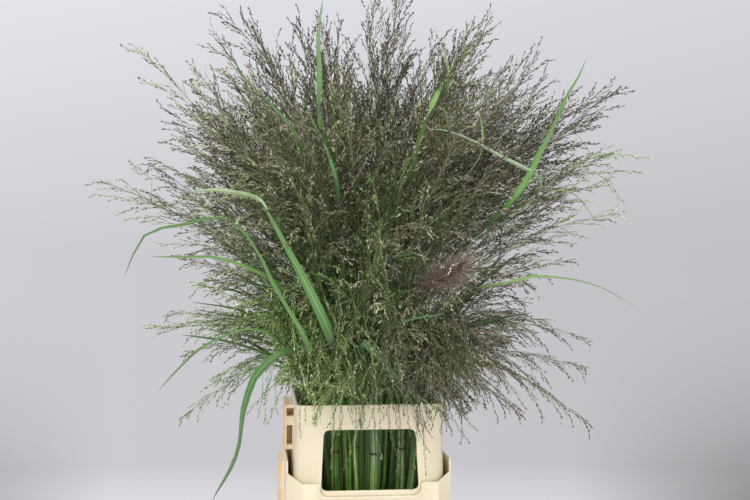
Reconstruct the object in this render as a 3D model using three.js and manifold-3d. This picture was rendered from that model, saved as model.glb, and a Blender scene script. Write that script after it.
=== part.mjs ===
// Cut switchgrass for sale: leafy culms in tied bunches, an airy panicle on each,
// standing in water in a cream trade bucket with a slip-in collar.
// Millimetres, +Z up. The origin is the middle of the bucket's underside, and the
// collar's window looks along -Y.

import * as THREE from 'three';
import { mergeVertices } from 'three/addons/utils/BufferGeometryUtils.js';
import Module from 'manifold-3d';

const wasm = await Module();
wasm.setup();

// ---- driving dimensions: bucket ----
const FLOOR = 3;                    // thickness of the bucket's floor
const FOOT_HALF = [118, 168];       // half width and half depth of the underside
const SHOULDER_Z = 146;             // where the body steps out to the skirt
const SHOULDER_HALF = [138, 188];
const LEDGE_Z = 150;                // inner ledge that the collar stands on
const SKIRT_HALF = [151, 200];      // skirt at its lower edge
const RIM_HALF = [149, 198];        // skirt at its rim
const SIDE_RIM_Z = 246;             // rim of the two long sides
const CORNER_RIM_Z = 226;           // rim at the end of a cut corner
const FRONT_RIM_Z = 210;            // rim of the two short sides
const CORNER_CUT = 28;              // size of the cut corners
const NOTCH_HALF = 91;              // half width of the notch in a short side's rim
const NOTCH_Z = 187;
const NOTCH_ROUND = 14;
const SIDE_RIM_REACH = 168;         // the high rim runs from -168 to 168 in Y
const LIP = { width: 6, proud: 2.5 }; // thick edge round the notch
const GRIP = { out: 160, half: 60, top: 229, foot: 132 };

// ---- driving dimensions: collar ----
const COLLAR_Z = [150.3, 347];      // foot, 0.3 above the ledge, and rim
const COLLAR_RIM_HALF = [130.5, 180.5];
const COLLAR_TAPER = 0.0447;        // growth of each half size per millimetre down
const COLLAR_WALL = 3;
const COLLAR_ROUND = [30, 16];       // corner radius at its foot and at its rim
const BAND_Z = 312;                 // the thicker band starts here
const WINDOW = { foot: 195, top: 303, halfLow: 88, halfHigh: 82.6, round: 12 };
const LUG = { out: 149, half: 70, foot: 252, top: 335, wall: 3 };
const LUG_POCKETS = [[260, 297], [313.5, 329]];

// ---- driving dimensions: water and grass ----
const GAP = 0.3;                    // left between two pieces that touch
const WATER_TOP = 63;
const STEMS = 40;
const BUNCHES = 8;
const INNER_STEMS = 10;             // the ten steepest culms make two bunches
const TIE_Z = [228, 262];           // each bunch runs straight and close here
const TIE_RING = 4.8;               // radius of the circle of five culms in the tie
const FOOT_RING = 16;               // radius of the same circle on the bucket's floor
const CULM = { foot: 2.75, tie: 2.7, collar: 2.5, end: 1.4 };
const CORE = { radius: 4, height: 6, sides: 5 };
const RUBBER = { inner: 8.3, outer: 10, height: 4, z: 245 };
const LEAN = [4, 100];              // degrees, of the middle and the outermost culm
const LEAN_POWER = 1.75;            // above 1, more of the culms stand steep
const REACH = [340, 480];           // from the collar's rim: at least, and upright culms more
const REACH_TURN = [54, 7];         // degrees of lean where the reach falls off, and how fast
const DEPTH_SHARE = 0.86;           // the spray is a little flatter front to back
const MOUTH = [112, 160];           // where the outermost culms pass the collar's rim
const MOUTH_OPEN = 0.6;             // how far a culm has left its bunch's middle there
const BUNCH_INWARD = { tie: 0.92, foot: 0.76 }; // a bunch's place there, as a share of its mouth's
const LEAVING = { lean: 0.35, pull: 0.38 };     // a culm's curve at the mouth: shares of lean, reach
const ARRIVING = { lean: 1.25, more: 0.1, pull: 0.36 }; // and at its tip, which nods by 0.1 radians
const PANICLE_FROM = [0.5, 0.25];   // share of the culm's curve, middle and outermost
const RACHIS = [1.3, 0.7];          // ring radius at its foot and near its tip
const TWIG = 0.5;                   // ring radius of a branch
const ROOT_RISE = 3;                // height of the small triangle a branch grows from
const BRANCHES = 7;                 // main branches of a panicle, each with a side branch
const BRANCH_LENGTH = [22, 175];    // of a 400 mm panicle: at its tip, and more at its foot
const BRANCH_OPEN = [34, 52];       // degrees from the axis, at its root and at its end
const BRANCH_DROOP = [0.1, 0.6];    // of the middle and the outermost panicle
const SIDE_BRANCH = 0.42;           // length as a share of its branch's
const SPIKELET = { length: 5, radius: 1.05 };
const LEAF_ROWS = 6;
const LEAF_THICK = 0.8;
const LEAF_LENGTH = [200, 340];
const LEAF_WIDTH = [9, 15];
const LEAF_ROLL = [25, 65];         // degrees about its own length
const LEAF_ROOT = [0.3, 0.85];      // share of the culm above the mouth
const GOLDEN = THREE.MathUtils.degToRad(137.508);
const UP = new THREE.Vector3(0, 0, 1);

const COLOURS = {
  bucket: 0xe6dcc4,
  collar: 0xeee3c9,
  water: 0x8fa39a,
  stem: 0x5f9440,
  rubber: 0xa9845c,
  purple: 0x75635f,
  green: 0x7f8f58,
};

// ---- closed meshes, joins and cuts ----
function toSolid(geometry) {
  const bare = geometry.clone();
  bare.deleteAttribute('normal');
  bare.deleteAttribute('uv');
  const merged = mergeVertices(bare, 1e-4);
  return new wasm.Manifold(new wasm.Mesh({
    numProp: 3,
    vertProperties: new Float32Array(merged.attributes.position.array),
    triVerts: new Uint32Array(merged.index.array),
  }));
}

function toGeometry(solid) {
  const mesh = solid.simplify(0.03).getMesh();
  const geometry = new THREE.BufferGeometry();
  geometry.setAttribute('position', new THREE.BufferAttribute(mesh.vertProperties, 3));
  geometry.setIndex(new THREE.BufferAttribute(mesh.triVerts, 1));
  geometry.computeVertexNormals();
  return geometry;
}

function joined(solids) {
  return wasm.Manifold.union(solids);
}

const object = new THREE.Group();

function addPiece(name, solid, colour, roughness) {
  const material = new THREE.MeshStandardMaterial({ color: colour, roughness, metalness: 0 });
  const mesh = new THREE.Mesh(toGeometry(solid), material);
  mesh.name = name;
  object.add(mesh);
}

// ---- shapes of the container ----
// A stack of level outlines of equal count becomes one closed skin: up the outside,
// over the rim and down the inside.
function skin(outlines) {
  const count = outlines[0].length;
  const geometry = new THREE.CylinderGeometry(1, 1, 1, count, outlines.length - 1);
  const place = geometry.attributes.position;
  for (let i = 0; i < place.count; i++) {
    const level = Math.round((place.getY(i) + 0.5) * (outlines.length - 1));
    const outline = outlines[level];
    const turn = Math.atan2(place.getX(i), place.getZ(i)) / (2 * Math.PI);
    const corner = outline[((Math.round(turn * count) % count) + count) % count];
    const isMiddle = Math.hypot(place.getX(i), place.getZ(i)) < 0.5;
    const x = isMiddle ? 0 : corner.x;
    const y = isMiddle ? 0 : corner.y;
    place.setXYZ(i, x, y, corner.z);
  }
  return toSolid(geometry);
}

// An oblong outline, counter-clockwise, its corners cut straight (steps = 1) or rounded.
function oblong([halfX, halfY], corner, steps, z) {
  const points = [];
  for (let quarter = 0; quarter < 4; quarter++) {
    const signX = quarter === 0 || quarter === 3 ? 1 : -1;
    const signY = quarter < 2 ? 1 : -1;
    for (let step = 0; step <= steps; step++) {
      const turn = (quarter + step / steps) * Math.PI / 2;
      const x = signX * (halfX - corner) + corner * Math.cos(turn);
      const y = signY * (halfY - corner) + corner * Math.sin(turn);
      points.push(new THREE.Vector3(x, y, z));
    }
  }
  return points;
}

// A flat shape drawn in X and Z, pushed through from one Y to another.
function along(shape, fromY, toY) {
  const depth = toY - fromY;
  const geometry = new THREE.ExtrudeGeometry(shape, { depth, bevelEnabled: false, curveSegments: 4 });
  geometry.rotateX(Math.PI / 2);
  geometry.translate(0, toY, 0);
  return toSolid(geometry);
}

function polygon(corners) {
  return new THREE.Shape(corners.map(([x, z]) => new THREE.Vector2(x, z)));
}

function box(x0, x1, y0, y1, z0, z1) {
  const geometry = new THREE.BoxGeometry(x1 - x0, y1 - y0, z1 - z0);
  geometry.translate((x0 + x1) / 2, (y0 + y1) / 2, (z0 + z1) / 2);
  return toSolid(geometry);
}

function shrink([halfX, halfY], by) {
  return [halfX - by, halfY - by];
}

function makeBucket() {
  const skirtWall = 3;
  const bodyWall = 4;
  const outlines = [
    oblong(shrink(FOOT_HALF, 1.5), CORNER_CUT - 5, 1, 0),
    oblong(FOOT_HALF, CORNER_CUT - 4, 1, 2),
    oblong(SHOULDER_HALF, CORNER_CUT - 2, 1, SHOULDER_Z),
    oblong(SKIRT_HALF, CORNER_CUT, 1, SHOULDER_Z),
    oblong(RIM_HALF, CORNER_CUT, 1, SIDE_RIM_Z),
    oblong(shrink(RIM_HALF, skirtWall), CORNER_CUT - 2, 1, SIDE_RIM_Z),
    oblong(shrink(RIM_HALF, skirtWall), CORNER_CUT - 2, 1, LEDGE_Z),
    oblong(shrink(SHOULDER_HALF, bodyWall), CORNER_CUT - 4, 1, LEDGE_Z),
    oblong(shrink(FOOT_HALF, bodyWall - 1), CORNER_CUT - 5, 1, FLOOR),
  ];
  let bucket = skin(outlines);
  const past = SKIRT_HALF[1] + 10;
  bucket = bucket.subtract(along(rimCut(), -past, -SIDE_RIM_REACH));
  bucket = bucket.subtract(along(rimCut(), SIDE_RIM_REACH, past));
  const outside = RIM_HALF[1] + LIP.proud;
  const lips = [along(lip(), -outside, -outside + 5), along(lip(), outside - 5, outside)];
  return joined([bucket, ...lips, makeGrip(1), makeGrip(-1)]);
}

// The notch's outline from its left top to its right top, pushed out by some amount.
function traceNotch(shape, out) {
  const half = NOTCH_HALF + out;
  const foot = NOTCH_Z - out;
  const round = NOTCH_ROUND + out;
  shape.lineTo(-half, foot + round);
  shape.absarc(-half + round, foot + round, round, Math.PI, 1.5 * Math.PI);
  shape.absarc(half - round, foot + round, round, -0.5 * Math.PI, 0);
  shape.lineTo(half, FRONT_RIM_Z);
}

// What is cut away above the rim of a short side: the flat, the notch and the slopes.
function rimCut() {
  const clear = SIDE_RIM_Z + 10;
  const aside = SKIRT_HALF[0] + 10;
  const level = RIM_HALF[0] - CORNER_CUT;
  const shape = new THREE.Shape();
  shape.moveTo(-aside, clear);
  shape.lineTo(-aside, CORNER_RIM_Z);
  shape.lineTo(-RIM_HALF[0], CORNER_RIM_Z);
  shape.lineTo(-level, FRONT_RIM_Z);
  shape.lineTo(-NOTCH_HALF, FRONT_RIM_Z);
  traceNotch(shape, 0);
  shape.lineTo(level, FRONT_RIM_Z);
  shape.lineTo(RIM_HALF[0], CORNER_RIM_Z);
  shape.lineTo(aside, CORNER_RIM_Z);
  shape.lineTo(aside, clear);
  return shape;
}

// The lip: the notch's outline pushed out, less the notch itself.
function lip() {
  const half = NOTCH_HALF;
  const round = NOTCH_ROUND;
  const shape = new THREE.Shape();
  shape.moveTo(-half - LIP.width, FRONT_RIM_Z);
  traceNotch(shape, LIP.width);
  shape.lineTo(half, FRONT_RIM_Z);
  shape.absarc(half - round, NOTCH_Z + round, round, 0, -0.5 * Math.PI, true);
  shape.absarc(-half + round, NOTCH_Z + round, round, -0.5 * Math.PI, -Math.PI, true);
  shape.lineTo(-half, FRONT_RIM_Z);
  return shape;
}

// A boss on a long side that hands hold the bucket by.
function makeGrip(side) {
  const root = SHOULDER_HALF[0] - 3.5;
  const round = 8;
  const shape = polygon([
    [root, GRIP.foot + 12], [root + 4, GRIP.foot], [GRIP.out - 3, GRIP.foot],
    [GRIP.out, GRIP.foot + 3], [GRIP.out, GRIP.top - round], [GRIP.out - 3, GRIP.top - 2],
    [GRIP.out - round, GRIP.top], [RIM_HALF[0] - 1, GRIP.top], [RIM_HALF[0] - 1, SHOULDER_Z + 2],
    [root, SHOULDER_Z + 2],
  ].map(([x, z]) => [side * x, z]));
  return along(shape, -GRIP.half, GRIP.half);
}

function collarHalf(z, inset = 0) {
  const grow = COLLAR_TAPER * (COLLAR_Z[1] - z);
  return [COLLAR_RIM_HALF[0] + grow - inset, COLLAR_RIM_HALF[1] + grow - inset];
}

function roundedWindow() {
  const { foot, top, halfLow, halfHigh, round } = WINDOW;
  const shape = new THREE.Shape();
  shape.moveTo(-halfLow + round, foot);
  shape.lineTo(halfLow - round, foot);
  shape.quadraticCurveTo(halfLow, foot, halfLow - 0.6, foot + round);
  shape.lineTo(halfHigh + 0.5, top - round);
  shape.quadraticCurveTo(halfHigh, top, halfHigh - round, top);
  shape.lineTo(-halfHigh + round, top);
  shape.quadraticCurveTo(-halfHigh, top, -halfHigh - 0.5, top - round);
  shape.lineTo(-halfLow + 0.6, foot + round);
  shape.quadraticCurveTo(-halfLow, foot, -halfLow + round, foot);
  return shape;
}

function makeCollar() {
  const [foot, rim] = COLLAR_Z;
  const steps = 4;
  const proud = -1;
  const round = (z) => THREE.MathUtils.mapLinear(z, foot, rim, ...COLLAR_ROUND);
  const level = (z, inset) => oblong(collarHalf(z, inset), round(z) - inset, steps, z);
  const outside = skin([
    level(foot, 0), level(BAND_Z, 0), level(BAND_Z + 1, proud), level(rim - 1, proud),
    level(rim, proud / 2),
  ]);
  const inside = skin([level(foot - 1, COLLAR_WALL), level(rim + 1, COLLAR_WALL)]);
  const frontWall = collarHalf(foot)[1];
  const window = along(roundedWindow(), -frontWall - 10, -frontWall + 30);
  const sleeve = outside.subtract(inside).subtract(window);
  return joined([sleeve, makeLug(1), makeLug(-1)]);
}

// A lug on a long side of the collar: a block with two pockets, which a rib parts in the middle.
function makeLug(side) {
  const turned = (x0, x1, y0, y1, z0, z1) => (
    side > 0 ? box(x0, x1, y0, y1, z0, z1) : box(-x1, -x0, y0, y1, z0, z1)
  );
  const root = collarHalf(LUG.top)[0] - 1.5;
  const block = turned(root, LUG.out, -LUG.half, LUG.half, LUG.foot, LUG.top);
  const pockets = [];
  for (const [z0, z1] of LUG_POCKETS) {
    const inner = collarHalf(z0)[0] + 0.6;
    for (const [y0, y1] of [[-LUG.half - 5, -LUG.wall], [LUG.wall, LUG.half + 5]]) {
      pockets.push(turned(inner, LUG.out - LUG.wall, y0, y1, z0, z1));
    }
  }
  return block.subtract(joined(pockets));
}

// ---- stalks and blades ----
function tangents(route, levelFoot) {
  return route.map((point, i) => {
    if (i === 0 && levelFoot) {
      return UP.clone();
    }
    const before = route[Math.max(i - 1, 0)];
    const after = route[Math.min(i + 1, route.length - 1)];
    return after.clone().sub(before).normalize();
  });
}

// A cylinder whose rings are laid on the points of a route; a last radius of 0 makes a cone.
function stalk(route, radii, sides, levelFoot = false) {
  const last = route.length - 1;
  const geometry = new THREE.CylinderGeometry(radii[last] > 0 ? 1 : 0, 1, 1, sides, last);
  const forward = tangents(route, levelFoot);
  const across = [new THREE.Vector3(0.31, 0.95, 0.02).cross(forward[0]).normalize()];
  for (let i = 1; i <= last; i++) {
    const bend = new THREE.Quaternion().setFromUnitVectors(forward[i - 1], forward[i]);
    across.push(across[i - 1].clone().applyQuaternion(bend).normalize());
  }
  const place = geometry.attributes.position;
  for (let i = 0; i < place.count; i++) {
    const ring = Math.round((place.getY(i) + 0.5) * last);
    const other = across[ring].clone().cross(forward[ring]);
    const point = route[ring].clone();
    point.addScaledVector(across[ring], place.getX(i) * radii[ring]);
    point.addScaledVector(other, place.getZ(i) * radii[ring]);
    place.setXYZ(i, point.x, point.y, point.z);
  }
  return toSolid(geometry);
}

// A leaf blade: rows of four corners along a route. Both faces are split into
// triangles along the same diagonals, so a twisted blade keeps its thickness.
function blade(route, across, widths, thickness) {
  const rows = route.length;
  const forward = tangents(route, false);
  const places = [];
  route.forEach((point, i) => {
    const normal = across[i].clone().cross(forward[i]).negate();
    for (const [side, face] of [[1, -1], [1, 1], [-1, 1], [-1, -1]]) {
      const corner = point.clone().addScaledVector(across[i], side * widths[i] / 2);
      corner.addScaledVector(normal, face * thickness / 2);
      places.push(corner.x, corner.y, corner.z);
    }
  });
  const index = [0, 2, 1, 0, 3, 2];
  for (let row = 0; row < rows - 1; row++) {
    for (let k = 0; k < 4; k++) {
      const a = row * 4 + k;
      const b = row * 4 + (k + 1) % 4;
      const split = k === 3 ? [a, b, a + 4, b, b + 4, a + 4] : [a, b, b + 4, a, b + 4, a + 4];
      index.push(...split);
    }
  }
  const end = (rows - 1) * 4;
  index.push(end, end + 1, end + 2, end, end + 2, end + 3);
  const geometry = new THREE.BufferGeometry();
  geometry.setAttribute('position', new THREE.Float32BufferAttribute(places, 3));
  geometry.setIndex(index);
  return toSolid(geometry);
}

// ---- keeping pieces clear of each other ----
// Every placed stalk or blade is booked as thick line pieces with its owner's name.
const CELL = 30;
const booked = new Map();

function cellsOf(a, b, reach) {
  const names = [];
  const low = (i) => Math.floor((Math.min(a.getComponent(i), b.getComponent(i)) - reach) / CELL);
  const high = (i) => Math.floor((Math.max(a.getComponent(i), b.getComponent(i)) + reach) / CELL);
  for (let x = low(0); x <= high(0); x++) {
    for (let y = low(1); y <= high(1); y++) {
      for (let z = low(2); z <= high(2); z++) {
        names.push(`${x},${y},${z}`);
      }
    }
  }
  return names;
}

function book(owner, route, radius) {
  for (let i = 0; i + 1 < route.length; i++) {
    const piece = { owner, a: route[i], b: route[i + 1], radius };
    for (const name of cellsOf(piece.a, piece.b, radius)) {
      if (!booked.has(name)) {
        booked.set(name, []);
      }
      booked.get(name).push(piece);
    }
  }
}

// Shortest distance between two straight pieces.
function distance(a, b, c, d) {
  const u = b.clone().sub(a);
  const v = d.clone().sub(c);
  const w = a.clone().sub(c);
  const uu = u.dot(u);
  const uv = u.dot(v);
  const vv = v.dot(v);
  const uw = u.dot(w);
  const vw = v.dot(w);
  const spread = uu * vv - uv * uv;
  let s = spread > 1e-6 ? THREE.MathUtils.clamp((uv * vw - vv * uw) / spread, 0, 1) : 0;
  let t = vv > 1e-9 ? THREE.MathUtils.clamp((uv * s + vw) / vv, 0, 1) : 0;
  s = uu > 1e-9 ? THREE.MathUtils.clamp((uv * t - uw) / uu, 0, 1) : 0;
  return w.addScaledVector(u, s).addScaledVector(v, -t).length();
}

function isFree(owner, route, radius, friends = []) {
  const margin = 0.5;
  for (let i = 0; i + 1 < route.length; i++) {
    if (!clearOfPot(route[i + 1], radius) || !clearOfPot(route[i], radius)) {
      return false;
    }
    for (const name of cellsOf(route[i], route[i + 1], radius + margin)) {
      for (const piece of booked.get(name) ?? []) {
        if (piece.owner === owner || friends.includes(piece.owner)) {
          continue;
        }
        const needed = piece.radius + radius + margin;
        if (distance(route[i], route[i + 1], piece.a, piece.b) < needed) {
          return false;
        }
      }
    }
  }
  return true;
}

// Inside the collar's mouth, or well outside the container's walls.
function clearOfPot(point, radius) {
  const margin = 2 + radius;
  if (point.z > COLLAR_Z[1] + margin) {
    return true;
  }
  const mouth = collarHalf(COLLAR_Z[1], COLLAR_WALL + margin);
  if (Math.abs(point.x) < mouth[0] && Math.abs(point.y) < mouth[1]) {
    return true;
  }
  const halfX = GRIP.out + margin;
  const halfY = RIM_HALF[1] + margin;
  return Math.abs(point.x) > halfX || Math.abs(point.y) > halfY;
}

// ---- where each culm goes ----
// The culms fill the mouth like the seeds of a sunflower: the middle ones stand
// steep and long, the outer ones lean far over the rim and are shorter.
function layStem(number) {
  const spread = Math.sqrt((number + 0.5) / STEMS);
  const heading = number * GOLDEN;
  const lessForward = 1 - 0.1 * Math.abs(Math.sin(heading));
  const lean = THREE.MathUtils.lerp(...LEAN, spread ** LEAN_POWER) * lessForward;
  const name = `panicle_${number + 1}`;
  const isGreen = lean > 30 && Math.cos(heading) < 0.25 && Math.sin(heading) < 0.3;
  return { name, number, spread, heading, isGreen, lean: THREE.MathUtils.degToRad(lean) };
}

function gather(stems) {
  const turnOf = (stem) => THREE.MathUtils.euclideanModulo(stem.heading, 2 * Math.PI);
  const byTurn = (list) => [...list].sort((a, b) => turnOf(a) - turnOf(b));
  const ordered = [...byTurn(stems.slice(0, INNER_STEMS)), ...byTurn(stems.slice(INNER_STEMS))];
  const size = STEMS / BUNCHES;
  const bunches = [];
  for (let start = 0; start < STEMS; start += size) {
    bunches.push(ordered.slice(start, start + size));
  }
  return bunches;
}

function at(x, y, z) {
  return new THREE.Vector3(x, y, z);
}

function mouthPoint(stem) {
  const x = MOUTH[0] * stem.spread * Math.cos(stem.heading);
  const y = MOUTH[1] * stem.spread * Math.sin(stem.heading);
  return at(x, y, COLLAR_Z[1] + 3);
}

function headingVector(stem, lean) {
  const side = Math.sin(lean);
  return at(
    side * Math.cos(stem.heading),
    side * Math.sin(stem.heading) * DEPTH_SHARE,
    Math.cos(lean),
  );
}

function routeStem(stem, bunch) {
  const over = THREE.MathUtils.radToDeg(stem.lean) - REACH_TURN[0];
  const reach = REACH[0] + REACH[1] / (1 + Math.exp(over / REACH_TURN[1]));
  const mouth = bunch.middle.clone().lerp(mouthPoint(stem), MOUTH_OPEN);
  const tip = at(0, 0, COLLAR_Z[1]).addScaledVector(headingVector(stem, stem.lean), reach);
  const start = headingVector(stem, LEAVING.lean * stem.lean).multiplyScalar(LEAVING.pull * reach);
  const nod = ARRIVING.lean * stem.lean + ARRIVING.more;
  const arrive = headingVector(stem, nod).multiplyScalar(ARRIVING.pull * reach);
  stem.curve = new THREE.CubicBezierCurve3(
    mouth, mouth.clone().add(start), tip.clone().sub(arrive), tip,
  );
  stem.panicleStart = THREE.MathUtils.lerp(...PANICLE_FROM, stem.spread);
  const ring = (middle, radius, z) => at(
    middle.x + radius * Math.cos(stem.turn), middle.y + radius * Math.sin(stem.turn), z,
  );
  const lower = [
    ring(bunch.foot, FOOT_RING, FLOOR + GAP),
    ring(bunch.tie, TIE_RING, TIE_Z[0]),
    ring(bunch.tie, TIE_RING, TIE_Z[1]),
  ];
  const rise = [0, 0.5, 1].map((share) => stem.curve.getPoint(share * stem.panicleStart));
  stem.culm = [...lower, ...rise];
  const along = stem.curve.getTangent(stem.panicleStart);
  const forks = Array.from({ length: BRANCHES }, (_, i) => forkShare(i));
  stem.axis = [0, ...forks, 1].map((share) => panicleAxis(stem, share));
  stem.axis[0].addScaledVector(along, GAP);
}

// Where a panicle's branches leave it, as shares of its length.
function forkShare(i) {
  return 0.06 + 0.8 * i / (BRANCHES - 1);
}

function panicleAxis(stem, share) {
  return stem.curve.getPoint(stem.panicleStart + share * (1 - stem.panicleStart));
}

function makeStems() {
  const stems = [];
  for (let number = 0; number < STEMS; number++) {
    stems.push(layStem(number));
  }
  const bunches = gather(stems).map((members, i) => {
    const middle = at(0, 0, 0);
    members.forEach((stem) => middle.addScaledVector(mouthPoint(stem), 1 / members.length));
    const bunch = { name: `stems_${i + 1}`, number: i + 1, stems: members, middle, leaves: [] };
    bunch.tie = middle.clone().multiplyScalar(BUNCH_INWARD.tie);
    bunch.foot = middle.clone().multiplyScalar(BUNCH_INWARD.foot);
    const turnAbout = (stem) => {
      const point = mouthPoint(stem);
      return Math.atan2(point.y - middle.y, point.x - middle.x);
    };
    const round = [...members].sort((a, b) => turnAbout(a) - turnAbout(b));
    round.forEach((stem, place) => {
      stem.turn = turnAbout(round[0]) + place * 2 * Math.PI / round.length;
      stem.bunch = bunch;
    });
    return bunch;
  });
  for (const stem of stems) {
    routeStem(stem, stem.bunch);
    book(stem.bunch.name, stem.culm, CULM.tie);
    book(stem.name, stem.axis, RACHIS[0]);
  }
  return { stems, bunches };
}

// A point of the culm above the mouth: it runs straight between its rings.
function culmPoint(stem, share) {
  const [low, middle, high] = stem.culm.slice(-3);
  if (share < 0.5) {
    return low.clone().lerp(middle, 2 * share);
  }
  return middle.clone().lerp(high, 2 * share - 1);
}

// The rubber band presses the five culms on a short core, the bunch's hidden middle.
function bunchSolid(bunch) {
  const { radius, height, sides } = CORE;
  const core = new THREE.CylinderGeometry(radius, radius, height, sides);
  core.rotateX(Math.PI / 2);
  core.rotateZ(bunch.stems[0].turn + Math.PI / 2);
  core.translate(bunch.tie.x, bunch.tie.y, RUBBER.z + RUBBER.height / 2);
  return joined([toSolid(core), ...bunch.stems.map(culmSolid), ...bunch.leaves]);
}

function culmSolid(stem) {
  const { foot, tie, collar, end } = CULM;
  const radii = [foot, tie, tie, collar, 2, end];
  return stalk(stem.culm, radii, 4, true);
}

// ---- water and rubber bands ----
function makeWater(allStems) {
  const bottom = FLOOR + GAP;
  const wallHalf = (z) => {
    const share = (z - FLOOR) / (LEDGE_Z - FLOOR);
    const low = shrink(FOOT_HALF, 3);
    const high = shrink(SHOULDER_HALF, 4);
    return [0, 1].map((i) => THREE.MathUtils.lerp(low[i], high[i], share) - GAP);
  };
  const corner = CORNER_CUT - 5;
  const layer = skin([
    oblong(wallHalf(bottom), corner, 1, bottom), oblong(wallHalf(WATER_TOP), corner, 1, WATER_TOP),
  ]);
  const holes = allStems.map((stem) => {
    const [foot, tie] = stem.culm;
    const rise = tie.clone().sub(foot).divideScalar(tie.z - foot.z);
    const low = foot.clone().addScaledVector(rise, -10);
    const high = foot.clone().addScaledVector(rise, WATER_TOP + 10);
    const radius = CULM.foot + 0.6;
    return stalk([low, high], [radius, radius], 4, true);
  });
  return layer.subtract(joined(holes));
}

function makeRubber(bunch) {
  const { inner, outer, height, z } = RUBBER;
  const profile = [
    [inner, 0], [outer, 0], [outer, height], [inner, height], [inner, 0],
  ].map(([x, y]) => new THREE.Vector2(x, y));
  const geometry = new THREE.LatheGeometry(profile, 10);
  geometry.rotateX(Math.PI / 2);
  geometry.translate(bunch.tie.x, bunch.tie.y, z);
  return toSolid(geometry);
}

// ---- leaves ----
// The long leaves that show from the front: where each runs in X and Z as seen from
// there, its greatest width and how far it is turned about its own length.
const FRONT_LEAVES = [
  { path: [[-127, 547], [-162, 644], [-209, 722], [-330, 738]], width: 17, roll: 60 },
  { path: [[-181, 544], [-240, 660], [-364, 675], [-470, 588]], width: 11, roll: 35 },
  { path: [[-261, 598], [-330, 604], [-443, 619]], width: 10, roll: 35 },
  { path: [[-245, 464], [-325, 437], [-372, 394], [-408, 353]], width: 8, roll: 30 },
  { path: [[-193, 419], [-236, 372], [-250, 260], [-300, 150]], width: 17, roll: 65 },
  { path: [[-9, 441], [30, 404], [62, 368], [81, 326]], width: 17, roll: 50 },
  { path: [[-100, 941], [-100, 1023], [-96, 1110]], width: 15, roll: 10 },
  { path: [[-166, 877], [-216, 928], [-290, 1013]], width: 10, roll: 40 },
  { path: [[340, 771], [265, 805], [190, 845], [112, 862]], width: 10, roll: 50 },
  { path: [[302, 751], [345, 840], [389, 928], [430, 1011]], width: 12, roll: 60 },
  { path: [[242, 563], [340, 574], [439, 557], [520, 515]], width: 8, roll: 30 },
];
const VIEW_FROM = 2400;             // the front view is drawn from this far away
const CLOUD = { half: [500, 340, 520], z: 600 };

function atDepth([x, z], y) {
  const closer = (VIEW_FROM + y) / VIEW_FROM;
  const eye = 625;
  return at(x * closer, y, eye + (z - eye) * closer);
}

// How far forward the spray's front surface lies at a place in the front view.
function frontDepth([x, z]) {
  const left = 1 - (x / CLOUD.half[0]) ** 2 - ((z - CLOUD.z) / CLOUD.half[2]) ** 2;
  return -0.85 * CLOUD.half[1] * Math.sqrt(Math.max(left, 0.05));
}

// A blade widens quickly, keeps its width past the middle and runs to a point.
function leafWidths(width, rows) {
  return Array.from({ length: rows }, (_, i) => {
    const share = i / (rows - 1);
    return Math.max(width * Math.min(4 * share, 1, 2.2 * (1 - share)), 1.4);
  });
}

function nearestCulm(allStems, target) {
  let best = { gap: Infinity };
  for (const stem of allStems) {
    for (let share = 0.05; share < 1; share += 0.05) {
      const point = culmPoint(stem, share);
      const gap = point.distanceTo(target);
      if (gap < best.gap) {
        best = { gap, point, bunch: stem.bunch };
      }
    }
  }
  return best;
}

// The blade's two halves are booked apart, so that the flat blade takes little room.
function tryLeaf(bunch, points, width, roll) {
  const rows = points.length > 3 ? LEAF_ROWS + 1 : LEAF_ROWS;
  const route = new THREE.CatmullRomCurve3(points).getSpacedPoints(rows - 1);
  const turn = THREE.MathUtils.degToRad(roll);
  const across = tangents(route, false).map(
    (forward) => forward.clone().cross(UP).normalize().applyAxisAngle(forward, turn),
  );
  const half = (side) => route.map(
    (point, i) => point.clone().addScaledVector(across[i], side * width / 4),
  );
  const halves = [half(1), half(-1)];
  const reach = width / 4 + 0.6;
  if (!halves.every((line) => isFree(bunch.name, line, reach))) {
    return false;
  }
  halves.forEach((line) => book(bunch.name, line, reach));
  bunch.leaves.push(blade(route, across, leafWidths(width, rows), LEAF_THICK));
  return true;
}

function addFrontLeaf(allStems, leaf) {
  for (const shift of [0, 25, -25, 50, -50, 75, -75, 100]) {
    for (const lift of [0, 10, -10, 20, -20]) {
      const path = leaf.path.map(([x, z]) => [x, z + lift]);
      const drawn = path.map((place) => atDepth(place, frontDepth(place) + shift));
      const inner = atDepth(path[0], 0.45 * frontDepth(path[0]) + shift);
      const root = nearestCulm(allStems, inner.add(at(0, 0, -60)));
      if (tryLeaf(root.bunch, [root.point, ...drawn], leaf.width, leaf.roll)) {
        return;
      }
    }
  }
}

function addLeaf(stem) {
  const pick = (range, draw) => THREE.MathUtils.lerp(...range, vary(stem.number, draw));
  const share = pick(LEAF_ROOT, 1);
  const root = culmPoint(stem, share);
  const along = culmPoint(stem, share + 0.1).sub(root).normalize();
  const length = pick(LEAF_LENGTH, 2);
  const width = pick(LEAF_WIDTH, 3);
  const roll = pick(LEAF_ROLL, 4);
  for (let attempt = 0; attempt < 24; attempt++) {
    const side = (attempt % 2 === 0 ? 1 : -1) * (0.5 + 0.25 * attempt);
    const away = at(Math.cos(stem.heading + side), Math.sin(stem.heading + side), 0);
    const rising = along.clone().multiplyScalar(0.8).addScaledVector(away, 0.5).normalize();
    const bend = root.clone().addScaledVector(rising, 0.55 * length);
    const tip = bend.clone().addScaledVector(away, 0.42 * length).addScaledVector(UP, 0.08 * length);
    const start = root.clone().addScaledVector(along, 0.12 * length);
    if (tryLeaf(stem.bunch, [root, start, bend, tip], width, roll)) {
      return;
    }
  }
}

// A repeatable value between 0 and 1 for two whole numbers.
function vary(a, b) {
  const wave = Math.sin(a * 12.9898 + b * 78.233) * 43758.5453;
  return wave - Math.floor(wave);
}

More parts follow.
